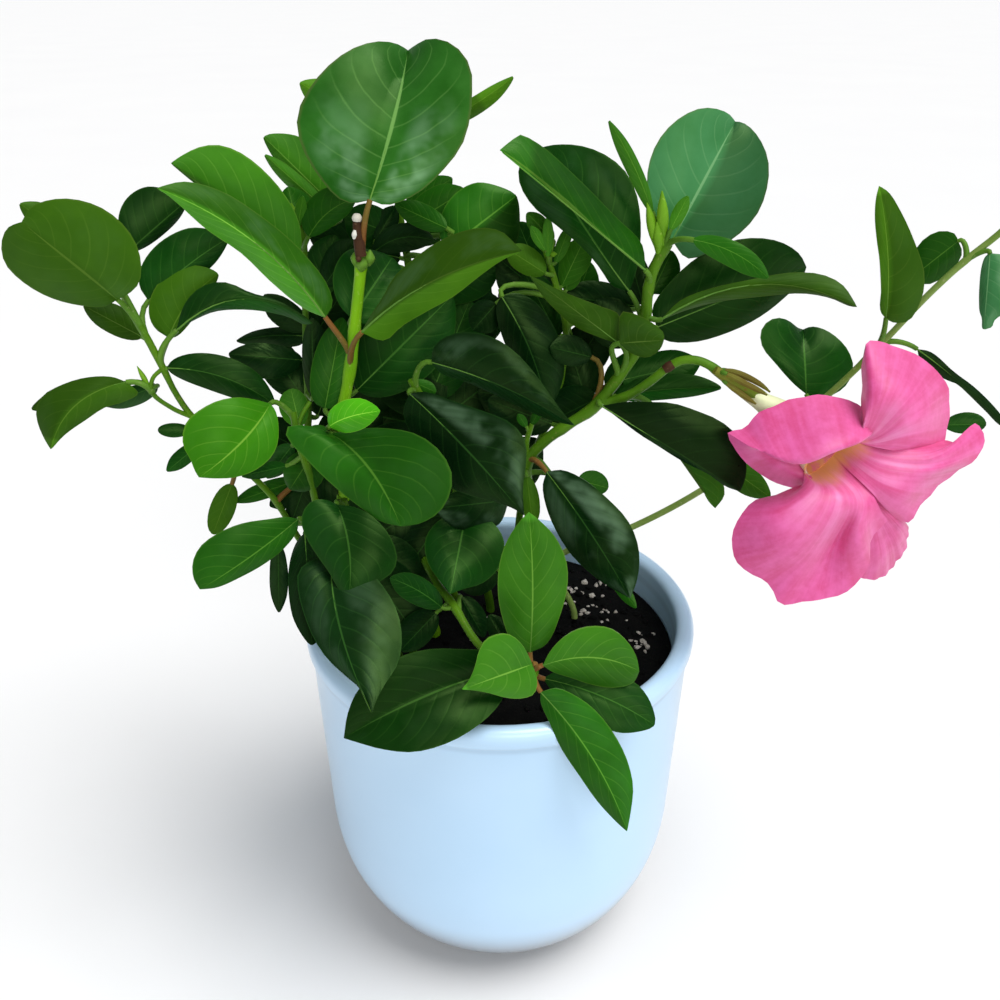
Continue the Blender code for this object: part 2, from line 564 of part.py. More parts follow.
def fuse(name, pieces):
    """Join overlapping pieces into one body with one union."""
    body = pieces[0]
    tools = bpy.data.collections.new(name + "_pieces")
    bpy.context.scene.collection.children.link(tools)
    for piece in pieces[1:]:
        tools.objects.link(piece)
        bpy.context.scene.collection.objects.unlink(piece)
    union = body.modifiers.new("Union", "BOOLEAN")
    union.operation = "UNION"
    union.operand_type = "COLLECTION"
    union.collection = tools
    union.solver = "MANIFOLD"
    bpy.context.view_layer.update()
    graph = bpy.context.evaluated_depsgraph_get()
    mesh = bpy.data.meshes.new_from_object(body.evaluated_get(graph))
    body.modifiers.clear()
    body.data = mesh
    for piece in list(tools.objects):
        bpy.data.objects.remove(piece)
    bpy.data.collections.remove(tools)
    body.name = name
    body.data.name = name
    return body


def cut(body, tools):
    """Take overlapping tools out of a body, one after the other."""
    for tool in tools:
        away = body.modifiers.new("Hole", "BOOLEAN")
        away.operation = "DIFFERENCE"
        away.object = tool
        away.solver = "EXACT"
        bpy.context.view_layer.update()
        graph = bpy.context.evaluated_depsgraph_get()
        mesh = bpy.data.meshes.new_from_object(body.evaluated_get(graph))
        body.modifiers.clear()
        body.data = mesh
        bpy.data.objects.remove(tool)
    return body


def paint(piece, name, colour, roughness, smooth_angle=None):
    """Give a piece its material, and smooth shading where it is round."""
    material = bpy.data.materials.get(name) or bpy.data.materials.new(name)
    material.use_nodes = True
    shader = material.node_tree.nodes["Principled BSDF"]
    shader.inputs["Base Color"].default_value = (*colour, 1.0)
    shader.inputs["Roughness"].default_value = roughness
    shader.inputs["Metallic"].default_value = 0.0
    piece.data.materials.clear()
    piece.data.materials.append(material)
    if smooth_angle:
        piece.data.shade_smooth()
        piece.data.set_sharp_from_angle(angle=math.radians(smooth_angle))


def turned(name, profile, sides, closed):
    """Body turned about Z from a profile of radius and height, axis points included."""
    vertices, rings = [], []
    for radius, height in profile:
        if radius == 0.0:
            rings.append([len(vertices)])
            vertices.append((0.0, 0.0, height))
            continue
        rings.append(list(range(len(vertices), len(vertices) + sides)))
        for corner in range(sides):
            angle = math.tau * corner / sides
            vertices.append((radius * math.cos(angle), radius * math.sin(angle), height))
    faces = []
    pairs = list(zip(rings, rings[1:]))
    if closed:
        pairs.append((rings[-1], rings[0]))
    for low, high in pairs:
        for corner in range(sides):
            after = (corner + 1) % sides
            if len(low) == 1:
                faces.append((low[0], high[after], high[corner]))
            elif len(high) == 1:
                faces.append((low[corner], low[after], high[0]))
            else:
                faces.append((low[corner], low[after], high[after], high[corner]))
    return new_object(name, vertices, faces)


def outer_wall():
    """Outer profile of the pot from the foot's edge up to the lip."""
    shoulder = POT_HEIGHT - SHOULDER_DROP
    profile = []
    steps = 7
    for step in range(steps + 1):
        angle = math.pi / 2 * (1 - step / steps)
        radius = FOOT_RADIUS + (SHOULDER_RADIUS - FOOT_RADIUS) * math.cos(angle)
        profile.append((radius, shoulder * (1 - math.sin(angle))))
    profile.append((WALL_TOP_RADIUS, POT_HEIGHT - LIP_HEIGHT))
    return profile


def inner_wall(clearance=0.0):
    """Inner profile of the pot from the axis up to its shoulder."""
    shoulder = POT_HEIGHT - SHOULDER_DROP
    reach = SHOULDER_RADIUS - WALL_THICKNESS - clearance
    floor = FLOOR_THICKNESS + clearance
    foot = FOOT_RADIUS - 4.0
    profile = [(0.0, floor)]
    steps = 5
    for step in range(steps + 1):
        angle = math.pi / 2 * (1 - step / steps)
        radius = foot + (reach - foot) * math.cos(angle)
        profile.append((radius, shoulder + (floor - shoulder) * math.sin(angle)))
    return profile


def build_pot():
    """Glazed pot with a rounded lip, a rounded bottom and a small flat foot."""
    inner_top = LIP_RADIUS - LIP_THICKNESS
    round_lip = LIP_THICKNESS / 2
    lip_centre = LIP_RADIUS - round_lip
    lip_level = POT_HEIGHT - round_lip
    profile = [(0.0, 0.0)] + outer_wall()
    profile.append((LIP_RADIUS - 0.4, POT_HEIGHT - LIP_HEIGHT + 2.0))
    profile.append((LIP_RADIUS, POT_HEIGHT - LIP_HEIGHT + 3.6))
    for step in range(LIP_STEPS + 1):
        angle = math.pi * step / LIP_STEPS
        profile.append((lip_centre + round_lip * math.cos(angle),
                        lip_level + round_lip * math.sin(angle)))
    profile.append((inner_top, POT_HEIGHT - LIP_HEIGHT))
    profile += reversed(inner_wall())
    pot = turned("pot", profile, POT_SIDES, False)
    paint(pot, "pot_glaze", (0.60, 0.79, 0.93), 0.28, 40)
    return pot


def build_soil():
    """Soil that fills the pot to a little below the lip, with a lumpy top."""
    level = POT_HEIGHT - SOIL_DROP
    wall = inner_wall(GAP)
    inner_top = LIP_RADIUS - LIP_THICKNESS
    bottom_radius, bottom_level = wall[-1]
    rise = (level - bottom_level) / (POT_HEIGHT - LIP_HEIGHT - bottom_level)
    edge = bottom_radius + (inner_top - GAP - bottom_radius) * rise - 0.15
    profile = wall + [(edge, level)]
    for ring in range(1, SOIL_RINGS):
        profile.append((edge * (1 - ring / SOIL_RINGS), level))
    profile.append((0.0, level))
    soil = turned("soil", profile, POT_SIDES, False)
    for vertex in soil.data.vertices:
        reach = math.hypot(vertex.co.x, vertex.co.y) / MM
        if vertex.co.z > (level - 0.5) * MM and reach < edge - 1.0:
            bump = noise.noise(Vector((vertex.co.x, vertex.co.y, 0.0)) * 70.0)
            crown = 1.0 - reach / edge
            vertex.co.z += (SOIL_BUMP * bump + 1.2 * crown) * MM
    holes = []
    for shoot in SHOOTS.values():
        for stem in shoot["stems"]:
            if stem.root:
                x, y = stem.root
                radius = stem.radius[0] + GAP + 0.05
                holes.append(tube("hole", [(Vector((x, y, level - ROOT_DEPTH - GAP)), radius),
                                           (Vector((x, y, level + 12.0)), radius)], STEM_SIDES))
    cut(soil, holes)
    paint(soil, "potting_soil", (0.012, 0.013, 0.015), 0.9)
    return soil


def build_shoot(name, shoot):
    """Leafy shoot: its stems, leaf stalks, blades and buds as one body."""
    routes = []
    for stem in shoot["stems"]:
        points = stem_points(stem)
        if not stem.root:
            points[0] = nearest(routes, stem.route[0][:2])[0]
        line = tapered(points, stem.radius)
        routes.append(line)
    pieces = [tube("stem", line, STEM_SIDES) for line in routes]
    for leaf in shoot["leaves"]:
        start, direction = nearest(routes, leaf.stalk)
        pieces.append(leaf_body(leaf, start, direction))
    for bud in shoot.get("buds", ()):
        start = nearest(routes, bud.stalk)[0]
        pieces.append(tube("bud", bud_route(start, bud), BUD_SIDES))
    body = fuse(name, pieces)
    paint(body, "leaf_green", (0.05, 0.17, 0.03), 0.35)
    return body


def ring_frame(centres):
    """Axis, side and up directions of the bloom's mouth."""
    axis = (centres[-1] - centres[-2]).normalized()
    side = (Vector((1.0, 0.0, 0.0)) - axis * axis.x).normalized()
    up = side.cross(axis).normalized()
    if up.z < 0:
        up = -up
    return axis, side, up


def petal_rows(petal, centres):
    """Rows of a petal from the bloom's mouth out to its edge."""
    axis, side, up = ring_frame(centres)
    edge = [at(spot[:2], spot[2]) for spot in petal["edge"]]
    reach = TUBE_RADII[-1] - TUBE_WALL / 2
    first, last = petal["arc"]
    rows = []
    for ring in range(PETAL_RINGS):
        t = ring / (PETAL_RINGS - 1)
        row = []
        for index, rim in enumerate(edge):
            angle = math.radians(first + (last - first) * index / (len(edge) - 1))
            root = centres[-1] + (side * math.cos(angle) + up * math.sin(angle)) * reach
            swell = axis * (PETAL_SWELL * 4 * t * (1 - t))
            row.append(root.lerp(rim, t) + swell - axis * (0.6 * (1 - t)))
        rows.append(row)
    return rows


def funnel(centres):
    """Bloom's tube, open at its mouth, with a hollow throat."""
    inner = [radius - TUBE_WALL for radius in TUBE_RADII]
    stops = [(index, TUBE_RADII[index]) for index in range(len(centres))]
    stops += [(index, inner[index]) for index in range(len(centres) - 1, 1, -1)]
    vertices, faces = [], []
    for index, radius in stops:
        before = centres[max(index - 1, 0)]
        after = centres[min(index + 1, len(centres) - 1)]
        along = (after - before).normalized()
        side = (Vector((1.0, 0.0, 0.0)) - along * along.x).normalized()
        up = along.cross(side)
        for corner in range(TUBE_SIDES):
            angle = math.tau * corner / TUBE_SIDES
            vertices.append(centres[index]
                            + (side * math.cos(angle) + up * math.sin(angle)) * radius)
    for ring in range(len(stops) - 1):
        for corner in range(TUBE_SIDES):
            a = ring * TUBE_SIDES + corner
            b = ring * TUBE_SIDES + (corner + 1) % TUBE_SIDES
            faces.append((a, b, b + TUBE_SIDES, a + TUBE_SIDES))
    faces.append(tuple(reversed(range(TUBE_SIDES))))
    end = (len(stops) - 1) * TUBE_SIDES
    faces.append(tuple(range(end, end + TUBE_SIDES)))
    return new_object("bloom_tube", vertices, faces)


def build_bloom():
    """Bloom: a flared tube with a hollow throat and five broad petals."""
    centres = [at(spot[:2], spot[2]) for spot in TUBE_ROUTE]
    pieces = [funnel(centres)]
    pieces += [petal_blade(petal_rows(petal, centres)) for petal in PETALS]
    body = fuse("bloom", pieces)
    paint(body, "petal_pink", (0.83, 0.13, 0.40), 0.5)
    return body


def clear_scene():
    """Start from an empty scene."""
    for item in list(bpy.data.objects):
        bpy.data.objects.remove(item)


clear_scene()
build_pot()
build_soil()
for shoot_name, shoot_parts in SHOOTS.items():
    build_shoot(shoot_name, shoot_parts)
build_bloom()
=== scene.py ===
import math
import random
from collections import namedtuple

import bpy
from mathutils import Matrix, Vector, noise


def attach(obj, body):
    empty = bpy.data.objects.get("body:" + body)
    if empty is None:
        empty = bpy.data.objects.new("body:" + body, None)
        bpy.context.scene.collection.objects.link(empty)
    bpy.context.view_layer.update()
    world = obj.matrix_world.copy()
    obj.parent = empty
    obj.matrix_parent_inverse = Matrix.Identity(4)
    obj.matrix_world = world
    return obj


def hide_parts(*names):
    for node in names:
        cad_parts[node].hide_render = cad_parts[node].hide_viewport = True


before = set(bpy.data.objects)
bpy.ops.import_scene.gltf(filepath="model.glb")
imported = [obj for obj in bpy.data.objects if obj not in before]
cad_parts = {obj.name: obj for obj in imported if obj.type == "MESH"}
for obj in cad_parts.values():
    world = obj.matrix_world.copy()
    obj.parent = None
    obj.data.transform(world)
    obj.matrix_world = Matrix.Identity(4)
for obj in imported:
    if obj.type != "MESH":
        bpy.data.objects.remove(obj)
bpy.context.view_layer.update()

# Potted mandevilla: fine leaves, stems, bloom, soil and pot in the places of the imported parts.
# Sizes in the tables are millimetres. Leaves and stems are placed where they are seen: a place
# is a picture point (x, y), counted in the 1000 x 1000 picture, and a depth, which is world Y.
MM = 0.001
MERGE_GAP = 0.002
SEED = 7

# Pot: a drop is measured down from the rim
POT_HEIGHT = 142.0
LIP_RADIUS = 74.5
LIP_THICKNESS = 6.8
LIP_HEIGHT = 9.0
WALL_TOP_RADIUS = 72.8
SHOULDER_RADIUS = 70.5
SHOULDER_DROP = 83.0
FOOT_RADIUS = 30.0
WALL_THICKNESS = 4.2
FLOOR_THICKNESS = 6.0
INNER_FOOT_INSET = 4.0
POT_SIDES = 96
WALL_STEPS = 18
INNER_STEPS = 12
LIP_STEPS = 12
# Painted shade: the glaze turns grey from the first height down to full grey at the second, for the shade
# under the rounded foot
FOOT_SHADE_HEIGHT = 42.0
FOOT_SHADE_FULL = 16.0

# Soil: lumps, finer crumbs and a low dome make its top, which is calm near the pot's wall
SOIL_DROP = 16.0
SOIL_LUMP = 1.6
SOIL_CRUMB = 0.7
SOIL_DOME = 1.2
SOIL_CALM_EDGE = 6.0
SOIL_GAP = 0.4
SOIL_RINGS = 26
CRUMBS = 420
CRUMB_RADII = (0.6, 2.2)
CRUMB_MARGIN = 3.0
GRAINS = 64
GRAIN_RADII = (0.5, 1.7)
GRAIN_SCATTER = 1.5
GRAIN_SPOTS = [(573, 612), (577, 594), (590, 606), (582, 613), (606, 620), (608, 612), (640, 634),
               (636, 645), (646, 642), (642, 650), (570, 604), (568, 590), (596, 597), (600, 584)]

# Plant: grids are columns and rows, and shares run from 0 at a base to 1 at a tip
BLADE_THICKNESS = 0.5
BLADE_CAMBER = 0.07
WAVE_HEIGHTS = (0.25, 0.9)
WAVE_COUNTS = (1.2, 2.6)
TONE_SPREAD = (0.88, 1.12)
BLADE_GRIDS = {"large": (12, 22), "small": (6, 12)}
STALK_RADIUS = 1.05
STALK_STEPS = 8
MIDRIB_STEPS = 10
MIDRIB_END = 0.93
STEM_STEPS = 6
STEM_NODE_SWELL = 0.16
STEM_NODE_REACH = 2.2
STEM_SLIMNESS = 0.88
ROOT_DEPTH = 12.0
FOOT_HALF_WIDTH = 0.6
TIP_HALF_WIDTH = 0.25
SMALL_LENGTH = 24.0
BUD_SHAPE = (0.55, 0.5, 0.55, 0.75, 0.95, 1.0, 0.92, 0.72, 0.42, 0.12)
PLAIN_HALF_SHADE = (1.0, 1.0)
PLAIN_PAINTED_GLEAM = (0.012, 0.012, 1.3)
PAINTED_GLEAM_FADE = 0.35
PALE_TIP_GAIN = 1.7
CURVE_STEP = 0.02

# Each leaf tone: colours of the blade, its patches, veins and margin, and its roughness.
# Colours are as they look on a screen, from 0 to 255.
LEAF_TONES = {
    # The sheen and blue tones' lighter patches are painted sheen, highlight painted into the colour
    "sheen": ((26, 82, 16), (44, 104, 32), (110, 160, 80), (80, 96, 48), 0.32),
    "blue": ((52, 114, 62), (66, 128, 78), (110, 160, 108), (80, 110, 60), 0.36),
    "deep": ((20, 72, 16), (14, 56, 13), (64, 116, 42), (48, 92, 30), 0.32),
    # The dark tone is near-black: partly the colour of leaves deep inside, partly painted shade among the
    # leaves
    "dark": ((10, 42, 13), (7, 30, 9), (40, 80, 30), (26, 60, 22), 0.3),
    "mid": ((34, 94, 16), (26, 78, 13), (84, 138, 44), (66, 112, 32), 0.34),
    "fresh": ((60, 122, 24), (48, 106, 20), (112, 164, 60), (96, 140, 46), 0.36),
    "lime": ((62, 140, 16), (50, 124, 14), (136, 192, 64), (108, 160, 44), 0.36),
    "olive": ((60, 104, 14), (50, 92, 12), (90, 128, 38), (78, 110, 30), 0.46),
    "umber": ((46, 82, 10), (34, 64, 8), (84, 112, 44), (70, 88, 30), 0.42),
    "sepal": ((116, 128, 44), (110, 92, 38), (150, 160, 84), (130, 100, 56), 0.5),
}
LEAF_BACK = ((60, 98, 26), (48, 84, 20), (104, 132, 56), (84, 110, 40), 0.5)
FRONT_RELIEF = 0.08
OLIVE_RELIEF = -0.05
BACK_RELIEF = 0.2
PAINTED_GLEAM_COLOUR = (158, 204, 160)

# Surfaces of round parts: colours of the skin, its patches and flecks, and its roughness
STEM_SURFACES = {
    "stem": ((84, 130, 20), (66, 110, 16), (124, 134, 62), 0.45),
    "green stalk": ((92, 136, 42), (74, 116, 34), (130, 150, 86), 0.45),
    "red stalk": ((128, 80, 42), (108, 92, 38), (160, 120, 78), 0.45),
    "midrib": ((98, 142, 58), (82, 126, 46), (130, 164, 92), 0.45),
    "bud": ((114, 166, 34), (92, 144, 26), (160, 190, 90), 0.45),
    "dead wood": ((66, 36, 26), (40, 22, 18), (120, 90, 70), 0.6),
    "dried sap": ((226, 226, 216), (196, 190, 176), (240, 240, 236), 0.45),
    "young stem": ((124, 184, 16), (106, 166, 12), (170, 200, 90), 0.45),
    "pale stem": ((134, 160, 84), (112, 142, 60), (170, 180, 130), 0.45),
    "calyx": ((128, 116, 44), (104, 122, 34), (130, 70, 40), 0.45),
}
STEM_SKINS = {"crown_shoot": "young stem", "vine_shoot": "pale stem"}

# Viewpoint from which the picture points are counted
EYE_BACK = 325.0
EYE_ABOVE_RIM = 217.0
EYE = Vector((0.0, -EYE_BACK, POT_HEIGHT + EYE_ABOVE_RIM))
EYE_PITCH = math.radians(27.7)
PICTURE_CENTRE = 500.0
PICTURE_FOCAL = 1000.0
SENSOR_WIDTH = 36.0

# Room: colour and strength of its light, and each window's direction, power and spread
ROOM_COLOUR = (0.95, 0.975, 1.0, 1.0)
ROOM_STRENGTH = 0.34
WINDOW_COLOUR = (1.0, 0.992, 0.98)
WINDOWS = {"high window": ((0.35, -0.2, 1.0), 2.4, 36), "front window": ((0.25, -1.0, 0.55), 0.8, 30)}
FLOOR_METRES = 60.0

Leaf = namedtuple("Leaf", "tone stalk base tip depth half turn bow arch wide form",
                  defaults=((10, 10), 0, 0, 0.5, ""))
Stem = namedtuple("Stem", "root route radius", defaults=((2.0, 1.6),))
Bud = namedtuple("Bud", "stalk tip depth radius", defaults=(1.6,))

# Each leaf: its tone, where its stalk leaves the stem, base and tip of the blade, depth of base
# and tip, half widths to the left and right of the midrib looking from base to tip, how far
# each half turns away from the viewer in degrees, sideways bow to the left, arch toward the
# viewer, where along the blade it is widest, and the form of its base and tip.
SHOOTS = {
    "crown_shoot": dict(stems=[
        Stem((-26, 2), [(352, 520, -4), (341, 440, -10), (344, 405, -12), (350, 370, -12),
                        (356, 315, -12), (361, 266, -12), (362, 252, -12)], (2.4, 2.1)),
    ], leaves=[
        Leaf("sheen", (363, 252), (370, 200), (408, 51), (-14, 22), (25.5, 25.5), (-8, -8),
             -1, 4, form="heart notch"),
        Leaf("fresh", (343, 364), (325, 317), (157, 188), (-14, -26), (10, 9), (50, 42), -5, 0, 0.45),
        Leaf("olive", (358, 374), (362, 332), (522, 251), (-20, -32), (12, 10), (35, 35), 4, 2),
        Leaf("mid", (342, 425), (325, 408), (342, 318), (-8, 8), (7, 7.5), (10, 0), 0, 3, 0.4),
        Leaf("lime", (338, 432), (330, 426), (380, 411), (-26, -36), (5.5, 5), (10, 10), 1, 2),
        Leaf("mid", (338, 440), (331, 434), (401, 526), (-21, -46), (24, 14), (-6, 15),
             3, 5, 0.45, "heart"),
        Leaf("deep", (347, 400), (357, 390), (452, 296), (6, 18), (17, 14), (0, 10), 0, 3),
        Leaf("deep", (356, 330), (352, 318), (392, 258), (-4, 16), (14, 13), (0, 0), 0, 3),
    ]),
    "bud_shoot": dict(stems=[
        Stem((-40, 20), [(312, 470, 14), (308, 400, 14), (306, 330, 13), (305, 280, 12),
                         (303, 240, 12), (297, 214, 12)], (1.8, 1.2)),
    ], leaves=[
        Leaf("fresh", (305, 275), (300, 256), (171, 163), (6, -8), (9, 15), (45, 15), 0, 2),
        Leaf("fresh", (303, 240), (338, 210), (264, 137), (30, 28), (4, 12), (30, 35)),
        Leaf("fresh", (303, 240), (322, 206), (265, 155), (23, 21), (3.5, 3.5), (40, 40), 0, 0, 0.4),
        Leaf("mid", (304, 250), (300, 236), (288, 187), (16, 20), (5, 7), (20, 20), 0, 0, 0.6),
        Leaf("mid", (304, 250), (309, 236), (356, 198), (9, 7), (7, 5), (10, 30), 2),
        Leaf("dark", (305, 290), (324, 286), (356, 240), (12, 14), (6, 6), (10, 20), 0, 0, 0.55),
        Leaf("dark", (307, 370), (302, 360), (229, 354), (14, 8), (8, 5), (20, 20), 0, 2),
        Leaf("dark", (306, 345), (304, 336), (237, 341), (18, 24), (4.5, 3), (20, 20), -1, 0, 0.35),
        Leaf("dark", (309, 400), (313, 396), (312, 318), (6, 6), (4, 6), (30, 10)),
    ], buds=[Bud((300, 226), (291, 203), 10, 1.1), Bud((303, 232), (305, 207), 10, 1.1)]),
    "left_shoot": dict(stems=[
        Stem((-50, 0), [(300, 540, 2), (275, 500, 0), (238, 462, -4), (190, 414, -8),
                        (175, 392, -9), (163, 368, -10), (150, 343, -11), (140, 325, -12)],
             (1.6, 1.15)),
        Stem(None, [(190, 414, -8), (172, 408, -11), (152, 392, -12), (153, 378, -12),
                    (162, 369, -10)], (0.95, 0.8)),
    ], leaves=[
        Leaf("olive", (142, 328), (117, 299), (22, 222), (-14, -24), (15.5, 19), (8, 8),
             0, 4, 0.55, "blunt notch"),
        Leaf("deep", (152, 350), (130, 250), (187, 200), (4, 14), (12.5, 4), (10, 40)),
        Leaf("deep", (160, 362), (149, 300), (228, 238), (0, 8), (11, 6), (10, 30), 1, 0, 0.45),
        Leaf("olive", (163, 366), (169, 337), (218, 274), (-4, 5), (11, 5), (10, 30), 2, 0, 0.45),
        Leaf("deep", (164, 367), (177, 330), (313, 323), (-10, -2), (9, 5), (35, 45), 9, 0, 0.45),
        Leaf("umber", (148, 338), (142, 337), (84, 306), (-6, 0), (4, 6), (10, 20)),
        Leaf("olive", (152, 392), (126, 382), (51, 449), (-14, -26), (9, 9), (35, 25), -5, 2, form="blunt"),
        Leaf("deep", (154, 390), (157, 386), (104, 405), (-8, -2), (4, 3), (20, 20)),
        Leaf("deep", (165, 369), (168, 368), (274, 404), (-10, -9), (7, 6), (15, 25), 3, 3),
        Leaf("deep", (200, 425), (190, 430), (158, 430), (-4, -6), (2.6, 2.4), form="blunt"),
        Leaf("deep", (215, 440), (200, 444), (167, 471), (-2, -6), (3, 3.4), (20, 20)),
        Leaf("olive", (240, 465), (232, 484), (213, 534), (0, -4), (4.5, 4.5), form="blunt"),
        Leaf("mid", (276, 502), (298, 480), (235, 502), (6, 2), (2.8, 4), (20, 30)),
    ], buds=[Bud((151, 392), (137, 366), -10, 0.9)]),
    "lime_shoot": dict(stems=[
        Stem((-34, -10), [(322, 520, -10), (308, 470, -14), (298, 440, -15),
                          (295, 424, -15), (293, 412, -14)], (1.8, 1.3)),
        Stem(None, [(296, 428, -15), (302, 415, -12), (310, 402, -9)], (0.9, 0.9)),
    ], leaves=[
        Leaf("lime", (295, 427), (270, 404), (199, 477), (-18, -40), (11.5, 14), (5, 5),
             2, 5, 0.45, "blunt"),
        Leaf("fresh", (297, 432), (300, 427), (291, 389), (-8, -2), (5.5, 4.5), (10, 10),
             0, 0, 0.55, "blunt"),
        Leaf("mid", (300, 445), (314, 452), (290, 489), (-10, -14), (8, 6.5), (15, 20), 0, 2, form="blunt"),
        Leaf("deep", (300, 448), (292, 446), (267, 478), (-8, -6), (4, 4.5), (20, 20)),
        Leaf("deep", (303, 460), (286, 466), (242, 476), (-12, -13), (2.5, 3), (20, 20)),
    ]),
    "low_left_shoot": dict(stems=[
        Stem((-36, -24), [(350, 560, -28), (346, 520, -30), (344, 499, -30)], (1.7, 1.4)),
        Stem(None, [(349, 548, -29), (325, 530, -27), (299, 519, -26)], (1.2, 1.0)),
    ], leaves=[
        Leaf("deep", (344, 498), (337, 505), (349, 598), (-37, -58), (16, 13), (10, 20),
             2, 4, 0.45, "heart"),
        Leaf("mid", (300, 520), (298, 519), (200, 589), (-27, -44), (9, 10.5), (10, 10), 1, 3, 0.6),
        Leaf("dark", (346, 530), (331, 556), (372, 713), (-42, -90), (15.5, 11), (12, 12),
             -3, 3, 0.45, "drip"),
        Leaf("dark", (330, 534), (305, 534), (312, 645), (-28, -64), (8, 7), (10, 25), 0, 3),
        Leaf("dark", (318, 528), (278, 545), (279, 612), (-18, -22), (3.5, 3.2), (15, 15)),
    ], buds=[Bud((346, 512), (337, 495), -27, 1.2)]),
    "front_sprig": dict(stems=[
        Stem((-14, 10), [(425, 560, -10), (438, 585, -26), (452, 603, -36),
                         (480, 646, -50), (512, 668, -59), (537, 673, -63)], (1.7, 1.5)),
    ], leaves=[
        Leaf("fresh", (532, 671), (530, 652), (529, 512), (-58, -49), (11.5, 11.5), (8, 8),
             -1, 2, form="drip"),
        Leaf("fresh", (528, 671), (532, 664), (462, 689), (-66, -76), (9, 11.5), (8, 8),
             0, 1, 0.38, "heart drip"),
        Leaf("fresh", (536, 672), (543, 665), (639, 671), (-63, -62), (9.5, 8), (5, 5), 3.5, 3),
        Leaf("mid", (537, 673), (541, 692), (627, 831), (-66, -84), (9.5, 9), (8, 8), 3, 3, form="drip"),
        Leaf("deep", (536, 674), (545, 679), (654, 725), (-58, -67), (9, 9), (8, -6), 2, 2, 0.6),
        Leaf("deep", (490, 652), (506, 668), (344, 738), (-58, -78), (15, 15), (-42, 16), -2, 5),
        Leaf("deep", (452, 603), (441, 607), (390, 578), (-38, -42), (4.8, 4.6), (10, 10), -1),
        Leaf("dark", (450, 601), (436, 613), (400, 651), (-34, -40), (5, 6.5)),
        Leaf("dark", (456, 609), (461, 597), (484, 637), (-32, -38), (4.5, 4), (10, 30)),
        Leaf("dark", (500, 660), (505, 645), (489, 615), (-52, -46), (3, 4), (20, 20)),
    ]),
    "centre_shoot": dict(stems=[
        Stem((-4, 18), [(462, 520, 0), (450, 460, -5), (425, 405, -9), (411, 380, -10)],
             (2.0, 1.4)),
    ], leaves=[
        Leaf("dark", (418, 392), (410, 394), (524, 515), (-14, -42), (14.5, 13), (5, 10), 1, 4, 0.6),
        Leaf("dark", (460, 505), (508, 500), (434, 508), (-12, -24), (9, 6), (10, 20), 0, 2, form="blunt"),
        Leaf("deep", (461, 515), (466, 514), (450, 594), (-12, -41), (15, 12), (10, 10), 0, 2),
        Leaf("dark", (463, 540), (498, 572), (462, 590), (-6, -12), (5, 5)),
        Leaf("dark", (412, 382), (432, 362), (574, 425), (-14, -26), (15, 8), (20, 60), 2, 3, 0.4),
        Leaf("mid", (411, 380), (411, 381), (436, 392), (-6, -8), (2.5, 3), (20, 20), 0, 0, 0.6),
    ]),
    "back_bud_shoot": dict(stems=[
        Stem((6, 30), [(528, 470, 20), (556, 400, 16), (566, 330, 14), (557, 288, 12),
                       (549, 262, 12), (543, 243, 12)], (1.9, 1.1)),
    ], leaves=[
        Leaf("dark", (561, 300), (502, 297), (547, 408), (6, -2), (11, 8), (15, 30), 2, 2, 0.45),
        Leaf("dark", (562, 310), (496, 304), (473, 330), (10, 8), (6, 6), (20, 20)),
        Leaf("dark", (566, 330), (636, 306), (562, 296), (22, 18), (6, 7), (15, 15)),
        Leaf("fresh", (556, 284), (562, 286), (584, 240), (14, 16), (5, 5.5), (20, 10), 0, 0, 0.6, "blunt"),
        Leaf("fresh", (557, 288), (566, 290), (573, 262), (18, 20), (3.5, 4)),
        Leaf("fresh", (546, 252), (553, 240), (527, 213), (12, 12), (3.5, 3.5), (30, 30)),
    ], buds=[Bud((545, 250), (539, 239), 11, 1.3), Bud((550, 265), (545, 240), 9, 1.4),
          Bud((552, 270), (551, 226), 10, 1.1), Bud((549, 256), (557, 254), 8, 1.0)]),
    "tall_back_shoot": dict(stems=[
        Stem((-12, 38), [(432, 440, 32), (416, 340, 32), (408, 262, 32), (398, 205, 36),
                         (392, 150, 40), (392, 118, 42)], (2.0, 1.2)),
    ], leaves=[
        Leaf("olive", (392, 125), (430, 128), (513, 77), (44, 46), (2.6, 4), (30, 30), -1),
        Leaf("olive", (392, 120), (352, 112), (300, 83), (46, 50), (6, 6), (30, 30)),
        Leaf("mid", (408, 258), (446, 250), (516, 196), (16, 22), (13, 14), (10, 15), 0, 2),
        Leaf("mid", (404, 235), (408, 226), (466, 190), (30, 34), (7, 7)),
        Leaf("mid", (408, 255), (446, 228), (395, 204), (14, 18), (4, 4.5), (20, 20)),
        Leaf("dark", (409, 270), (374, 252), (434, 241), (21, 18), (5, 5), (20, 20), 3),
        Leaf("dark", (402, 228), (376, 240), (396, 206), (24, 28), (4, 4), (20, 20)),
    ]),
    "right_shoot": dict(stems=[
        Stem((14, 6), [(530, 500, 0), (527, 462, -4), (546, 440, -6), (572, 422, -6),
                       (592, 409, -6), (612, 386, -6), (634, 354, -6), (645, 318, -6),
                       (649, 285, -6), (657, 262, -6), (668, 243, -6)], (2.5, 1.9)),
        Stem(None, [(600, 402, -6), (625, 397, -8), (648, 383, -10), (668, 367, -12)],
             (1.9, 1.7)),
        Stem(None, [(668, 367, -12), (680, 361, -13), (695, 360, -14), (709, 365, -15),
                    (722, 375, -16), (734, 384, -17.4)], (1.7, 1.7)),
        Stem(None, [(527, 462, -4), (527, 440, -6), (532, 424, -7)], (1.2, 0.9)),
    ], leaves=[
        Leaf("deep", (640, 336), (629, 291), (537, 149), (0, 16), (12, 20.5), (15, 10), 1, 3),
        Leaf("mid", (649, 285), (645, 270), (500, 150), (-10, -18), (7, 6), (50, 50), 0, 3, 0.35),
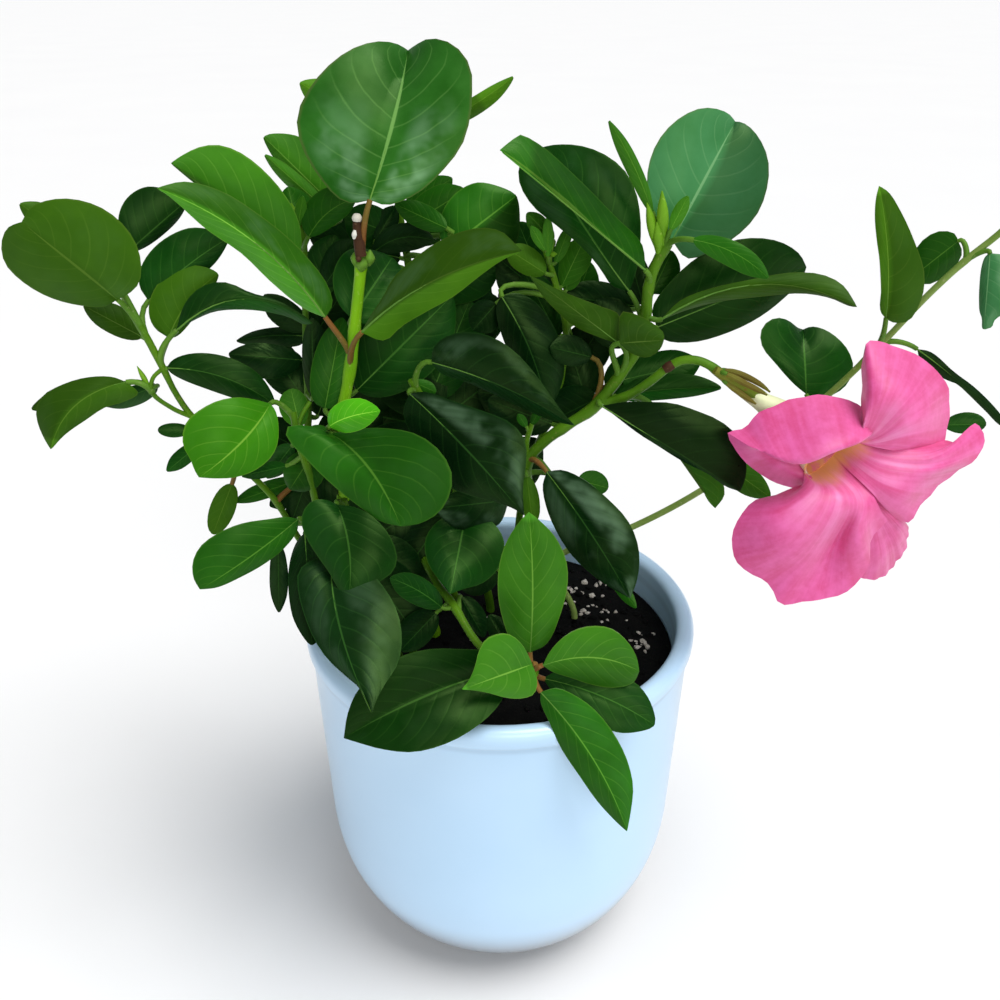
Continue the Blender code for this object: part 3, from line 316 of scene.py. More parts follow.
        Leaf("fresh", (664, 250), (652, 212), (609, 121), (-6, -4), (2.8, 1.8), (15, 15), -1),
        Leaf("blue", (668, 243), (672, 240), (735, 122), (0, 17), (18.5, 17), (5, 5),
             0, 3, form="heart notch"),
        Leaf("mid", (668, 243), (694, 240), (768, 278), (-16, -26), (3.2, 4.4), (15, 15), 2),
        Leaf("deep", (644, 322), (657, 327), (806, 267), (2, 12), (15, 12), (5, 15), 0, 3),
        Leaf("umber", (646, 316), (662, 319), (857, 307), (-8, -20), (6.5, 5), (35, 40), 9),
        Leaf("dark", (597, 404), (602, 406), (740, 491), (-12, -22), (13, 8), (10, 30), 0, 3, 0.55),
        Leaf("fresh", (622, 398), (640, 402), (715, 508), (-4, -8), (6, 5), (10, 10), 0, 0, 0.7),
        Leaf("fresh", (622, 398), (690, 440), (770, 497), (0, -4), (5, 5), (10, 10), 0, 0, 0.7),
        Leaf("deep", (606, 398), (616, 396), (721, 388), (4, 2), (5.5, 4), (10, 30), 1, 0, 0.45),
        Leaf("deep", (612, 386), (606, 388), (662, 358), (8, 12), (8, 8)),
        Leaf("mid", (650, 285), (652, 293), (672, 251), (15, 19), (5, 6)),
        Leaf("umber", (615, 375), (620, 344), (530, 276), (-10, -14), (6, 11), (25, 20), 0, 0, 0.4),
        Leaf("umber", (615, 375), (620, 343), (664, 340), (-14, -19), (9, 6), (20, 20), form="blunt"),
        Leaf("dark", (585, 414), (591, 357), (550, 347), (2, 0), (5, 6), (20, 20)),
        Leaf("dark", (528, 461), (547, 472), (630, 598), (-14, -34), (12, 10), (5, 10), 1, 3, 0.55),
        Leaf("mid", (529, 478), (578, 480), (608, 488), (4, 4), (5, 4), form="blunt"),
        Leaf("mid", (530, 430), (532, 424), (540, 409), (-7, -8), (1.5, 1.5)),
        Leaf("mid", (529, 432), (526, 426), (518, 414), (-7, -8), (1.5, 1.5)),
        Leaf("olive", (528, 474), (527, 477), (533, 527), (-8, -14), (3.5, 3), (15, 15)),
        Leaf("fresh", (664, 250), (671, 229), (688, 196), (-9, -9), (2.2, 2.2), (20, 20)),
        Leaf("sepal", (718, 371), (725, 370), (770, 392), (-18, -20), (1.1, 0.9), (20, 20), 1, 0, 0.4),
        Leaf("sepal", (718, 374), (727, 384), (756, 404), (-20, -23), (0.9, 0.9), (20, 20), 0, 0, 0.4),
        Leaf("sepal", (718, 372), (727, 374), (767, 395), (-21, -23), (1.0, 0.9), (20, 20), 0, 0, 0.4),
    ], buds=[Bud((662, 252), (662, 191), -10, 2.0), Bud((656, 260), (647, 203), -8, 1.8),
          Bud((660, 256), (657, 222), -9, 1.8)]),
    "vine_shoot": dict(stems=[
        Stem((30, 14), [(552, 562, 15), (565, 552, 14), (597, 540, 13), (632, 527, 12),
                        (705, 488, 12), (770, 440, 14), (828, 395, 16), (883, 342, 16),
                        (930, 293, 14), (966, 260, 12), (1000, 233, 10), (1022, 212, 8)],
             (1.5, 1.3)),
    ], leaves=[
        Leaf("deep", (818, 402), (806, 394), (803, 330), (18, 36), (16, 15), (5, 5), 0, 3, 0.6, "notch"),
        Leaf("olive", (872, 353), (886, 318), (879, 186), (10, 12), (4.5, 11.5), (20, 5), -1.5, 2, 0.35),
        Leaf("mid", (964, 262), (958, 241), (908, 280), (16, 22), (5, 7), (10, 10), 0, 0, 0.4),
        Leaf("blue", (967, 260), (990, 254), (984, 329), (8, -2), (10, 3), (5, 40), 0, 2, 0.35, "drip"),
        Leaf("dark", (880, 345), (917, 349), (1008, 428), (14, 6), (3, 4), (20, 20), 1, 0, 0.4),
        Leaf("deep", (868, 357), (944, 425), (986, 424), (12, 10), (4.5, 3.5), (10, 20),
             0, 0, 0.55, "blunt"),
        Leaf("mid", (1015, 219), (1019, 216), (1040, 186), (9, 8), (3, 3), (15, 15)),
    ]),
}

# Outlines of the leaves that show most: left and right edge from base to tip, picture points
OUTLINES = {
    ("crown_shoot", 0): (
        [(352, 203), (340, 199), (318, 175), (303, 150), (297, 128), (299, 110), (310, 88),
         (328, 66), (350, 50), (370, 43), (385, 42), (398, 45)],
        [(385, 205), (402, 201), (422, 190), (443, 170), (462, 145), (470, 118), (472, 92),
         (471, 70), (463, 54), (450, 43), (436, 39), (426, 40), (417, 45)]),
    ("crown_shoot", 1): (
        [(306, 309), (271, 281), (242, 253), (207, 229), (167, 194)],
        [(332, 304), (327, 285), (309, 260), (289, 239), (256, 213), (222, 192), (184, 182)]),
    ("crown_shoot", 2): (
        [(372, 314), (383, 298), (395, 277), (418, 256), (440, 241), (465, 231), (485, 228),
         (502, 232), (514, 243)],
        [(385, 340), (400, 327), (430, 309), (452, 297), (480, 275), (505, 258)]),
    ("crown_shoot", 5): (
        [(345, 432), (360, 429), (384, 428), (415, 434), (438, 449), (451, 470), (451, 490),
         (440, 511), (420, 523)],
        [(310, 427), (286, 429), (289, 441), (300, 452), (318, 471), (340, 491), (362, 508),
         (381, 521)]),
    ("left_shoot", 0): (
        [(105, 306), (85, 306), (50, 297), (20, 279), (5, 262), (2, 242), (8, 228)],
        [(128, 293), (138, 283), (141, 265), (136, 243), (121, 222), (100, 207), (73, 199),
         (50, 200), (32, 207)]),
    ("left_shoot", 4): (
        [(184, 306), (196, 291), (212, 283), (228, 283), (250, 293), (275, 300), (300, 313)],
        [(195, 319), (215, 311), (240, 309), (265, 311), (290, 317), (305, 324)]),
    ("left_shoot", 6): (
        [(138, 393), (122, 402), (105, 407), (85, 420), (64, 435)],
        [(112, 377), (85, 378), (60, 386), (43, 396), (37, 408), (38, 422), (44, 437)]),
    ("lime_shoot", 0): (
        [(275, 411), (278, 425), (277, 445), (270, 458), (255, 470), (235, 477), (215, 478)],
        [(255, 400), (235, 398), (215, 402), (200, 410), (188, 420), (183, 433), (184, 447),
         (191, 460), (195, 470)]),
    ("low_left_shoot", 0): (
        [(355, 508), (370, 515), (385, 529), (394, 545), (397, 558), (393, 571), (380, 581),
         (364, 590)],
        [(325, 500), (313, 501), (304, 511), (302, 525), (308, 540), (318, 556), (330, 573),
         (338, 587)]),
    ("low_left_shoot", 1): (
        [(297, 530), (285, 547), (265, 563), (240, 577), (217, 587)],
        [(285, 517), (270, 519), (240, 524), (215, 535), (200, 547), (193, 562), (194, 578)]),
    ("low_left_shoot", 2): (
        [(362, 565), (387, 592), (400, 622), (401, 650), (396, 667), (385, 684), (376, 701)],
        [(310, 562), (299, 572), (298, 588), (305, 616), (315, 640), (327, 658), (345, 675),
         (359, 687), (367, 701)]),
    ("front_sprig", 0): (
        [(515, 645), (503, 620), (498, 590), (500, 562), (509, 537), (521, 520)],
        [(545, 645), (559, 617), (567, 588), (566, 560), (555, 537), (539, 520)]),
    ("front_sprig", 1): (
        [(537, 683), (533, 694), (521, 698), (505, 697), (486, 692), (474, 690)],
        [(520, 642), (509, 634), (498, 634), (486, 639), (479, 651), (475, 666), (469, 680)]),
    ("front_sprig", 2): (
        [(549, 653), (560, 640), (575, 630), (594, 626), (612, 629), (626, 640), (636, 656)],
        [(552, 671), (570, 677), (595, 685), (615, 687), (633, 682)]),
    ("front_sprig", 3): (
        [(556, 688), (576, 696), (595, 710), (612, 731), (626, 757), (633, 785), (631, 808)],
        [(541, 702), (549, 721), (562, 749), (580, 776), (600, 804), (617, 822)]),
    ("front_sprig", 5): (
        [(503, 698), (490, 715), (470, 731), (448, 743), (414, 752), (382, 749), (360, 743)],
        [(487, 652), (460, 649), (430, 649), (402, 656), (374, 674), (358, 690), (348, 713)]),
    ("right_shoot", 3): (
        [(655, 226), (649, 205), (647, 180), (650, 160), (658, 141), (670, 126), (685, 115),
         (700, 109), (715, 109), (728, 114)],
        [(687, 258), (715, 249), (740, 233), (758, 212), (768, 182), (768, 160), (761, 142),
         (750, 128), (742, 123)]),
    ("centre_shoot", 0): (
        [(425, 392), (450, 400), (485, 412), (512, 424), (525, 440), (526, 462), (523, 488)],
        [(404, 412), (415, 440), (430, 465), (450, 487), (472, 496), (500, 503), (515, 509)]),
    ("centre_shoot", 1): (
        [(505, 512), (498, 524), (480, 531), (462, 531), (446, 522)],
        [(500, 492), (480, 488), (455, 492), (440, 500)]),
    ("centre_shoot", 2): (
        [(488, 519), (502, 535), (504, 552), (497, 570), (482, 583), (463, 589)],
        [(442, 519), (427, 535), (425, 550), (430, 567), (440, 581), (446, 588)]),
    ("centre_shoot", 4): (
        [(434, 347), (447, 336), (468, 332), (492, 337), (515, 352), (535, 374), (552, 398),
         (565, 415)],
        [(440, 372), (465, 381), (495, 394), (525, 409), (552, 420)]),
    ("right_shoot", 0): (
        [(612, 285), (600, 268), (585, 250), (560, 228), (534, 207), (520, 184), (519, 168),
         (526, 154)],
        [(635, 275), (640, 245), (640, 215), (635, 190), (624, 170), (605, 155), (580, 146),
         (555, 145)]),
    ("right_shoot", 1): (
        [(627, 254), (600, 229), (575, 204), (553, 179), (535, 161), (516, 156)],
        [(641, 244), (616, 218), (590, 191), (565, 167), (545, 149), (531, 140), (521, 135),
         (510, 142)]),
    ("right_shoot", 5): (
        [(652, 310), (672, 280), (704, 253), (740, 239), (777, 241), (799, 254)],
        [(662, 338), (690, 342), (731, 331), (762, 315), (788, 294), (801, 280)]),
    ("right_shoot", 6): (
        [(680, 301), (712, 288), (750, 280), (793, 273), (822, 275), (842, 285)],
        [(688, 309), (720, 301), (762, 296), (804, 293), (832, 298), (848, 305)]),
    ("right_shoot", 7): (
        [(625, 402), (650, 402), (672, 403), (697, 411), (720, 421), (736, 435), (746, 460),
         (745, 478)],
        [(620, 419), (640, 434), (652, 442), (685, 462), (707, 473), (726, 486)]),
    ("right_shoot", 8): (
        [(690, 440), (715, 465), (722, 480), (724, 495)],
        [(655, 430), (680, 455), (692, 470), (702, 485), (708, 500)]),
    ("right_shoot", 13): (
        [(600, 337), (575, 326), (555, 309), (543, 296), (536, 285)],
        [(618, 314), (600, 306), (575, 297), (553, 287), (540, 280)]),
    ("right_shoot", 14): (
        [(622, 312), (640, 316), (655, 325), (664, 334)],
        [(630, 352), (647, 357), (660, 349)]),
    ("right_shoot", 16): (
        [(562, 470), (586, 481), (609, 500), (628, 521), (638, 546), (639, 568), (635, 586)],
        [(543, 485), (546, 505), (556, 530), (572, 555), (592, 574), (612, 588), (623, 594)]),
    ("vine_shoot", 1): (
        [(881, 312), (881, 290), (880, 265), (877, 240), (875, 215), (876, 198)],
        [(893, 322), (908, 321), (921, 300), (924, 273), (914, 241), (899, 209), (888, 192)]),
    ("vine_shoot", 2): (
        [(962, 252), (955, 266), (943, 277), (928, 284)],
        [(955, 234), (940, 231), (924, 239), (914, 252), (909, 266)]),
    ("vine_shoot", 4): (
        [(930, 352), (952, 370), (977, 390), (1000, 414)],
        [(920, 360), (930, 370), (945, 379), (957, 384), (967, 393), (985, 410), (1000, 425)]),
    ("vine_shoot", 0): (
        [(795, 385), (776, 364), (762, 346), (761, 331), (768, 321), (778, 318), (788, 321),
         (797, 328)],
        [(815, 397), (829, 396), (845, 386), (853, 368), (849, 353), (839, 340), (825, 330),
         (812, 327)]),
    ("bud_shoot", 0): (
        [(282, 249), (255, 229), (225, 205), (195, 183)],
        [(301, 235), (296, 214), (281, 190), (266, 173), (250, 159), (235, 150), (217, 145),
         (200, 147), (183, 155)]),
}

# Lightness of a blade's left and right half: partly the leaf's own lightness, partly painted light and
# shade where a half turns toward or away from the light
PAINTED_HALF_SHADES = {
    ("crown_shoot", 1): (1.9, 0.65), ("crown_shoot", 2): (0.55, 1.6),
    ("crown_shoot", 3): (1.0, 1.3), ("crown_shoot", 4): (2.0, 1.6),
    ("crown_shoot", 7): (1.3, 1.3), ("right_shoot", 5): (0.5, 0.55),
    ("right_shoot", 4): (1.3, 1.3), ("left_shoot", 0): (0.75, 0.95),
    ("left_shoot", 1): (0.7, 0.8), ("left_shoot", 4): (0.6, 1.3),
    ("left_shoot", 8): (0.65, 0.65), ("front_sprig", 3): (1.35, 0.85),
    ("front_sprig", 1): (1.15, 1.15), ("right_shoot", 8): (0.7, 0.9),
    ("right_shoot", 9): (0.8, 0.7), ("vine_shoot", 1): (1.25, 0.75),
    ("low_left_shoot", 2): (1.1, 1.3), ("lime_shoot", 2): (0.8, 0.8),
    ("crown_shoot", 5): (0.85, 1.1), ("centre_shoot", 4): (0.9, 1.9),
    ("right_shoot", 0): (0.9, 1.0), ("right_shoot", 1): (1.2, 0.7),
    ("right_shoot", 3): (1.1, 0.55), ("right_shoot", 7): (0.55, 1.0),
    ("right_shoot", 10): (0.7, 1.6), ("left_shoot", 6): (0.8, 0.5),
    ("bud_shoot", 0): (0.6, 1.3), ("tall_back_shoot", 2): (1.45, 0.5),
    ("front_sprig", 2): (1.1, 0.85), ("front_sprig", 5): (0.5, 0.35),
    ("low_left_shoot", 0): (0.55, 0.7), ("lime_shoot", 0): (0.85, 0.8),
}

# Painted gleam: a highlight painted into the colour of a blade's left and right half, and the share of its
# length where the gleam ends
PAINTED_GLEAMS = {
    ("crown_shoot", 0): (0.3, 0.45, 0.6), ("centre_shoot", 0): (0.16, 0.0, 1.3),
    ("right_shoot", 16): (0.26, 0.08, 1.3), ("centre_shoot", 1): (0.16, 0.08, 1.3),
    ("centre_shoot", 4): (0.1, 0.0, 1.0), ("low_left_shoot", 2): (0.05, 0.03, 1.3),
    ("right_shoot", 0): (0.05, 0.03, 1.3), ("vine_shoot", 3): (0.3, 0.2, 1.3),
    ("crown_shoot", 1): (0.0, 0.12, 1.0), ("crown_shoot", 2): (0.1, 0.0, 1.3),
}

# Where the pale end of a curled tip starts, as a share of the blade's length
PALE_TIPS = {
    ("right_shoot", 1): 0.8, ("tall_back_shoot", 0): 0.6, ("tall_back_shoot", 1): 0.6,
    ("left_shoot", 6): 0.9, ("front_sprig", 0): 0.94, ("vine_shoot", 1): 0.95,
    ("front_sprig", 1): 0.95,
}

# Cut end, dead stub and scars on a stem: two picture points, depth, radii, and the surface
SCARS = {
    "right_shoot": [((715, 370), (761, 400), -18.0, (1.5, 1.9, 2.4, 2.8, 3.1, 3.0), "calyx"),
                    ((664, 370), (673, 364), -12.6, (1.4, 1.75, 1.8, 1.5), "dead wood")],
    "crown_shoot": [((361, 256), (358, 236), -14.6, (1.8, 1.8, 1.5), "dead wood"),
                    ((358, 238), (357, 219), -14.8, (1.6, 1.5, 1.3), "dead wood"),
                    ((357, 221), (357, 214), -14.9, (1.4, 1.6, 1.0), "dried sap"),
                    ((354, 239), (355, 230), -16.0, (0.4, 0.9, 0.4), "dried sap"),
                    ((355, 266), (357, 250), -13.4, (0.4, 1.5, 1.7, 1.2, 0.3), "green stalk"),
                    ((369, 266), (370, 250), -12.6, (0.4, 1.5, 1.8, 1.3, 0.3), "green stalk"),
                    ((361, 272), (362, 256), -13.6, (0.5, 1.8, 2.2, 1.9, 0.6), "green stalk"),
                    ((358, 262), (359, 256), -16.0, (0.4, 1.0, 0.4), "dead wood")],
}

# Leaves with a red-brown stalk
RED_STALKS = {
    ("crown_shoot", 0), ("crown_shoot", 1), ("crown_shoot", 2), ("front_sprig", 0),
    ("front_sprig", 1), ("front_sprig", 2), ("front_sprig", 3), ("front_sprig", 4),
    ("right_shoot", 15), ("right_shoot", 11), ("right_shoot", 16), ("left_shoot", 11),
    ("left_shoot", 12), ("centre_shoot", 1),
}

# Leaves inside the shoots, which show only between the others; most have the near-black dark tone, which
# paints the shade in the gaps among the leaves
INNER_SHADE_LEAVES = {
    "left_shoot": [
        Leaf("umber", (152, 392), (122, 384), (32, 409), (-5, -12), (4, 5), (20, 20)),
        Leaf("olive", (142, 328), (75, 240), (20, 204), (-6, -8), (4, 5), (20, 20)),
    ],
    "centre_shoot": [
        Leaf("dark", (430, 415), (440, 410), (372, 335), (20, 34), (14, 12), (10, 15)),
        Leaf("dark", (440, 440), (432, 440), (352, 470), (14, 10), (14, 12)),
        Leaf("dark", (455, 490), (445, 490), (362, 545), (6, -6), (14, 12), (15, 10)),
        Leaf("dark", (458, 500), (452, 505), (385, 600), (2, -14), (11, 11)),
        Leaf("dark", (435, 425), (440, 420), (520, 360), (22, 34), (13, 13)),
        Leaf("deep", (425, 405), (430, 398), (470, 300), (24, 36), (13, 12), (10, 15)),
        Leaf("dark", (462, 520), (475, 505), (540, 440), (16, 26), (11, 11)),
        Leaf("dark", (460, 510), (455, 500), (400, 440), (10, 8), (12, 12)),
    ],
    "tall_back_shoot": [
        Leaf("dark", (412, 300), (402, 296), (330, 262), (34, 30), (12, 11)),
        Leaf("deep", (410, 290), (420, 285), (500, 262), (36, 34), (12, 11)),
        Leaf("dark", (418, 350), (425, 345), (500, 300), (40, 40), (12, 12)),
        Leaf("dark", (424, 390), (415, 388), (335, 372), (34, 24), (12, 12)),
        Leaf("deep", (404, 235), (396, 236), (345, 215), (28, 22), (8, 7)),
        Leaf("dark", (428, 420), (436, 416), (512, 400), (34, 30), (12, 11)),
        Leaf("dark", (412, 300), (420, 300), (500, 332), (46, 50), (15, 15), (5, 5)),
        Leaf("dark", (416, 330), (424, 330), (484, 266), (50, 54), (14, 14), (5, 5)),
        Leaf("dark", (408, 262), (400, 258), (310, 236), (44, 44), (9, 10), (5, 5)),
        Leaf("dark", (420, 370), (412, 368), (318, 330), (44, 40), (14, 14), (5, 5)),
        Leaf("dark", (430, 430), (425, 425), (345, 410), (40, 36), (14, 12), (5, 5)),
        Leaf("deep", (404, 235), (412, 240), (446, 215), (40, 44), (6, 6), (5, 5)),
        Leaf("mid", (402, 215), (406, 212), (452, 178), (38, 42), (5, 5), (5, 5)),
    ],
    "bud_shoot": [
        Leaf("dark", (308, 400), (302, 396), (262, 335), (18, 26), (8, 7)),
        Leaf("dark", (309, 420), (318, 415), (350, 335), (20, 28), (10, 9)),
        Leaf("dark", (311, 450), (303, 450), (258, 428), (16, 10), (9, 8)),
        Leaf("deep", (306, 300), (313, 298), (335, 235), (20, 26), (7, 7)),
        Leaf("dark", (307, 340), (313, 338), (346, 286), (22, 26), (7, 7)),
        Leaf("dark", (307, 332), (309, 328), (264, 295), (18, 20), (6, 4)),
        Leaf("dark", (311, 460), (322, 455), (380, 410), (18, 26), (12, 11)),
        Leaf("fresh", (303, 240), (302, 236), (313, 198), (14, 14), (2.2, 2.2)),
        Leaf("fresh", (300, 228), (298, 226), (303, 196), (10, 8), (1.8, 1.8)),
    ],
    "lime_shoot": [
        Leaf("dark", (305, 465), (316, 470), (372, 512), (-2, -8), (12, 10)),
        Leaf("dark", (310, 480), (302, 488), (270, 506), (6, 4), (4, 4)),
        Leaf("dark", (308, 482), (305, 484), (291, 524), (4, 2), (6, 4)),
        Leaf("mid", (297, 432), (303, 436), (331, 437), (-12, -16), (4, 4)),
    ],
    "low_left_shoot": [
        Leaf("dark", (348, 540), (356, 548), (418, 590), (-20, -24), (12, 11)),
        Leaf("dark", (348, 535), (362, 560), (420, 640), (-26, -34), (12, 10)),
    ],
    "back_bud_shoot": [
        Leaf("dark", (556, 400), (548, 398), (478, 392), (24, 20), (11, 10)),
        Leaf("deep", (566, 340), (558, 336), (524, 272), (22, 24), (7, 7)),
        Leaf("dark", (560, 380), (568, 376), (602, 325), (20, 24), (9, 9)),
        Leaf("mid", (566, 320), (572, 312), (590, 262), (24, 26), (6, 6)),
        Leaf("dark", (566, 330), (560, 335), (500, 290), (34, 40), (10, 10), (5, 5)),
        Leaf("dark", (560, 305), (552, 302), (498, 258), (24, 26), (9, 9), (5, 5)),
        Leaf("deep", (558, 310), (550, 300), (518, 222), (30, 34), (9, 9), (5, 5)),
        Leaf("olive", (549, 275), (545, 273), (506, 248), (9, 11), (4.5, 5), (20, 20)),
        Leaf("dark", (560, 380), (555, 378), (500, 350), (34, 34), (12, 12), (5, 5)),
        Leaf("fresh", (552, 268), (556, 262), (570, 226), (12, 14), (2.2, 2.2)),
        Leaf("fresh", (549, 262), (548, 256), (548, 216), (9, 8), (1.8, 1.8)),
        Leaf("fresh", (546, 252), (545, 250), (531, 226), (9, 8), (1.8, 1.8)),
    ],
    "right_shoot": [
        Leaf("dark", (592, 409), (586, 400), (566, 335), (12, 20), (9, 8)),
        Leaf("dark", (602, 400), (598, 398), (546, 424), (9, 10), (3, 9), (5, 5)),
        Leaf("dark", (645, 310), (643, 304), (628, 250), (8, 14), (5, 5), (5, 5)),
        Leaf("mid", (528, 461), (602, 562), (636, 608), (-12, -25), (2.4, 2.4), (15, 15), 0, 0, 0.6),
        Leaf("dark", (560, 430), (552, 424), (488, 400), (4, 6), (8, 8)),
        Leaf("deep", (612, 386), (622, 380), (700, 362), (6, 10), (7, 8)),
        Leaf("dark", (634, 354), (628, 345), (596, 300), (6, 12), (8, 8)),
    ],
}

# Bloom: the tube's centre line and radii, and each petal's arc on the tube in degrees, the
# height of its waves, and its lip, ridge and edge as picture points with depths
TUBE_ROUTE = [(735, 384.6, -17.5), (750, 394, -18), (772, 409, -20), (800, 432, -25),
              (842, 466, -37)]
TUBE_RADII = (2.2, 3.2, 6.6, 8.2, 10.5)
TUBE_WALL = 0.7
TUBE_MOUTH = 0.84
TUBE_LINING_START = 0.35
TUBE_STEPS = 16
TUBE_SIDES = 32
PETAL_ROOT_STEP = 0.9
PETAL_SWELL = 3.5
PETAL_FOLDS = 3.5
PETAL_FRILLS = 9.0
PETAL_FRILL_HEIGHT = 0.3
PETAL_PHASE_STEP = 0.17
PETAL_THICKNESS = 0.45
PETAL_GRID = (36, 24)
PETALS = [
    dict(arc=(212, 85), wave=0.4,
         lip=[(812, 478, -37), (806, 471, -34), (806, 461, -32), (812, 452, -31),
              (824, 445, -31), (838, 440, -31), (850, 438, -31), (860, 437, -32)],
         ridge=[(808, 482, -36), (796, 475, -35), (780, 466, -35), (766, 456, -35),
                (752, 447, -36), (764, 452, -40), (780, 460, -44), (796, 463, -46),
                (810, 460, -47), (824, 454, -47), (842, 448, -46), (856, 443, -43),
                (864, 439, -40), (869, 436, -37)],
         edge=[(806, 489, -33), (778, 483, -31), (748, 464, -30), (735, 448, -30),
               (727, 433, -29), (742, 430, -28), (760, 414, -27), (775, 405, -26),
               (795, 398, -25), (820, 396, -25), (842, 399, -25), (860, 406, -26),
               (869, 416, -27), (874, 428, -29)]),
    dict(arc=(95, 5), wave=0.4,
         lip=[(852, 438, -33), (860, 439, -33), (866, 442, -34), (871, 446, -35)],
         ridge=[(862, 432, -36), (864, 424, -37), (868, 412, -37), (876, 402, -37),
                (884, 398, -37), (890, 399, -37), (898, 402, -37), (904, 408, -37),
                (908, 415, -37), (910, 424, -38), (908, 433, -38), (904, 440, -38),
                (896, 446, -38), (886, 449, -37)],
         edge=[(861, 406, -29), (862, 385, -27), (864, 362, -24), (867, 343, -22),
               (880, 341, -20), (892, 346, -20), (916, 355, -20), (935, 370, -20),
               (946, 385, -20), (950, 405, -22), (948, 425, -24), (942, 442, -27),
               (925, 450, -30), (911, 454, -32)]),
    dict(arc=(40, -45), wave=0.3,
         lip=[(862, 436, -31), (872, 442, -33), (878, 452, -36), (881, 466, -39),
              (879, 482, -42), (873, 494, -43)],
         ridge=[(884, 438, -32), (898, 443, -34), (908, 449, -36), (920, 453, -37),
                (928, 457, -38), (930, 459, -39), (930, 460, -39), (928, 464, -39),
                (922, 470, -41), (914, 476, -42), (906, 483, -43), (898, 490, -44),
                (892, 496, -44), (886, 500, -43), (880, 502, -42)],
         edge=[(900, 434, -25), (922, 438, -26), (945, 441, -27), (962, 444, -28),
               (974, 441, -26), (972, 430, -23), (976, 424, -22), (983, 432, -23),
               (981, 450, -26), (966, 465, -29), (946, 480, -32), (926, 497, -35),
               (916, 511, -37), (908, 523, -38), (896, 518, -37)]),
    dict(arc=(-35, -80), wave=0.5,
         lip=[(874, 492, -38), (868, 500, -38), (860, 503, -38)],
         edge=[(893, 512, -29), (905, 523, -29), (908, 535, -29), (906, 547, -29),
               (899, 556, -29), (893, 568, -29), (882, 575, -30), (870, 580, -32),
               (860, 577, -32)]),
    dict(arc=(-45, -155), wave=0.5,
         lip=[(874, 497, -43), (862, 502, -45), (847, 501, -47), (832, 498, -47),
              (820, 493, -45), (811, 486, -42), (804, 478, -38)],
         ridge=[(880, 509, -43), (871, 517, -45), (863, 525, -47), (856, 532, -48),
                (849, 538, -47), (842, 543, -44), (834, 547, -42), (826, 549, -44),
                (816, 550, -47), (807, 549, -50), (800, 547, -51), (794, 543, -51),
                (789, 538, -51), (784, 532, -50), (780, 526, -49), (778, 519, -48),
                (779, 512, -47), (783, 505, -45), (789, 499, -43), (795, 493, -41),
                (803, 486, -38)],
         edge=[(888, 521, -41), (876, 533, -42), (870, 545, -42), (868, 560, -43),
               (862, 575, -43), (850, 588, -44), (838, 597, -45), (822, 600, -46),
               (804, 601, -46), (786, 604, -46), (776, 600, -46), (772, 588, -45),
               (764, 580, -45), (748, 572, -44), (736, 560, -43), (731, 545, -41),
               (733, 530, -41), (740, 515, -40), (755, 503, -38), (775, 496, -37),
               (803, 484, -35)]),
]


def rgb(red, green, blue):
    """Linear colour from values of 0 to 255 as they look on a screen."""
    linear = []
    for value in (red, green, blue):
        share = value / 255
        linear.append(share / 12.92 if share <= 0.04045 else ((share + 0.055) / 1.055) ** 2.4)
    return (*linear, 1.0)


def at(point, depth):
    """World point in millimetres seen at a picture point, at world Y = depth."""
    across = (point[0] - PICTURE_CENTRE) / PICTURE_FOCAL
    down = (point[1] - PICTURE_CENTRE) / PICTURE_FOCAL
    cos_pitch, sin_pitch = math.cos(EYE_PITCH), math.sin(EYE_PITCH)
    ray = Vector((across, cos_pitch - down * sin_pitch, -sin_pitch - down * cos_pitch))
    return EYE + ray * ((depth - EYE.y) / ray.y)


def picture_point(place):
    """Picture point where a world point in millimetres is seen."""
    offset = place - EYE
    cos_pitch, sin_pitch = math.cos(EYE_PITCH), math.sin(EYE_PITCH)
    ahead = offset.y * cos_pitch - offset.z * sin_pitch
    down = -offset.y * sin_pitch - offset.z * cos_pitch
    return (PICTURE_CENTRE + PICTURE_FOCAL * offset.x / ahead,
            PICTURE_CENTRE + PICTURE_FOCAL * down / ahead)


def clear_selection():
    """Nothing selected and no active piece."""
    for item in bpy.context.selected_objects:
        item.select_set(False)
    bpy.context.view_layer.objects.active = None


def choose(pieces):
    """Select these pieces, the first one active."""
    clear_selection()
    for piece in pieces:
        piece.select_set(True)
    bpy.context.view_layer.objects.active = pieces[0]


def joined(name, pieces):
    """One piece out of several."""
    choose(pieces)
    if len(pieces) > 1:
        bpy.ops.object.join()
    body = bpy.context.view_layer.objects.active
    body.name = name
    body.data.name = name
    return body


def smooth(piece, angle):
    """Smooth shading with sharp edges beyond an angle in degrees."""
    choose([piece])
    bpy.ops.object.shade_smooth_by_angle(angle=math.radians(angle))


def merged(piece):
    """Join doubled points."""
    choose([piece])
    bpy.ops.object.mode_set(mode="EDIT")
    bpy.ops.mesh.select_all(action="SELECT")
    bpy.ops.mesh.remove_doubles(threshold=MERGE_GAP * MM)
    bpy.ops.object.mode_set(mode="OBJECT")


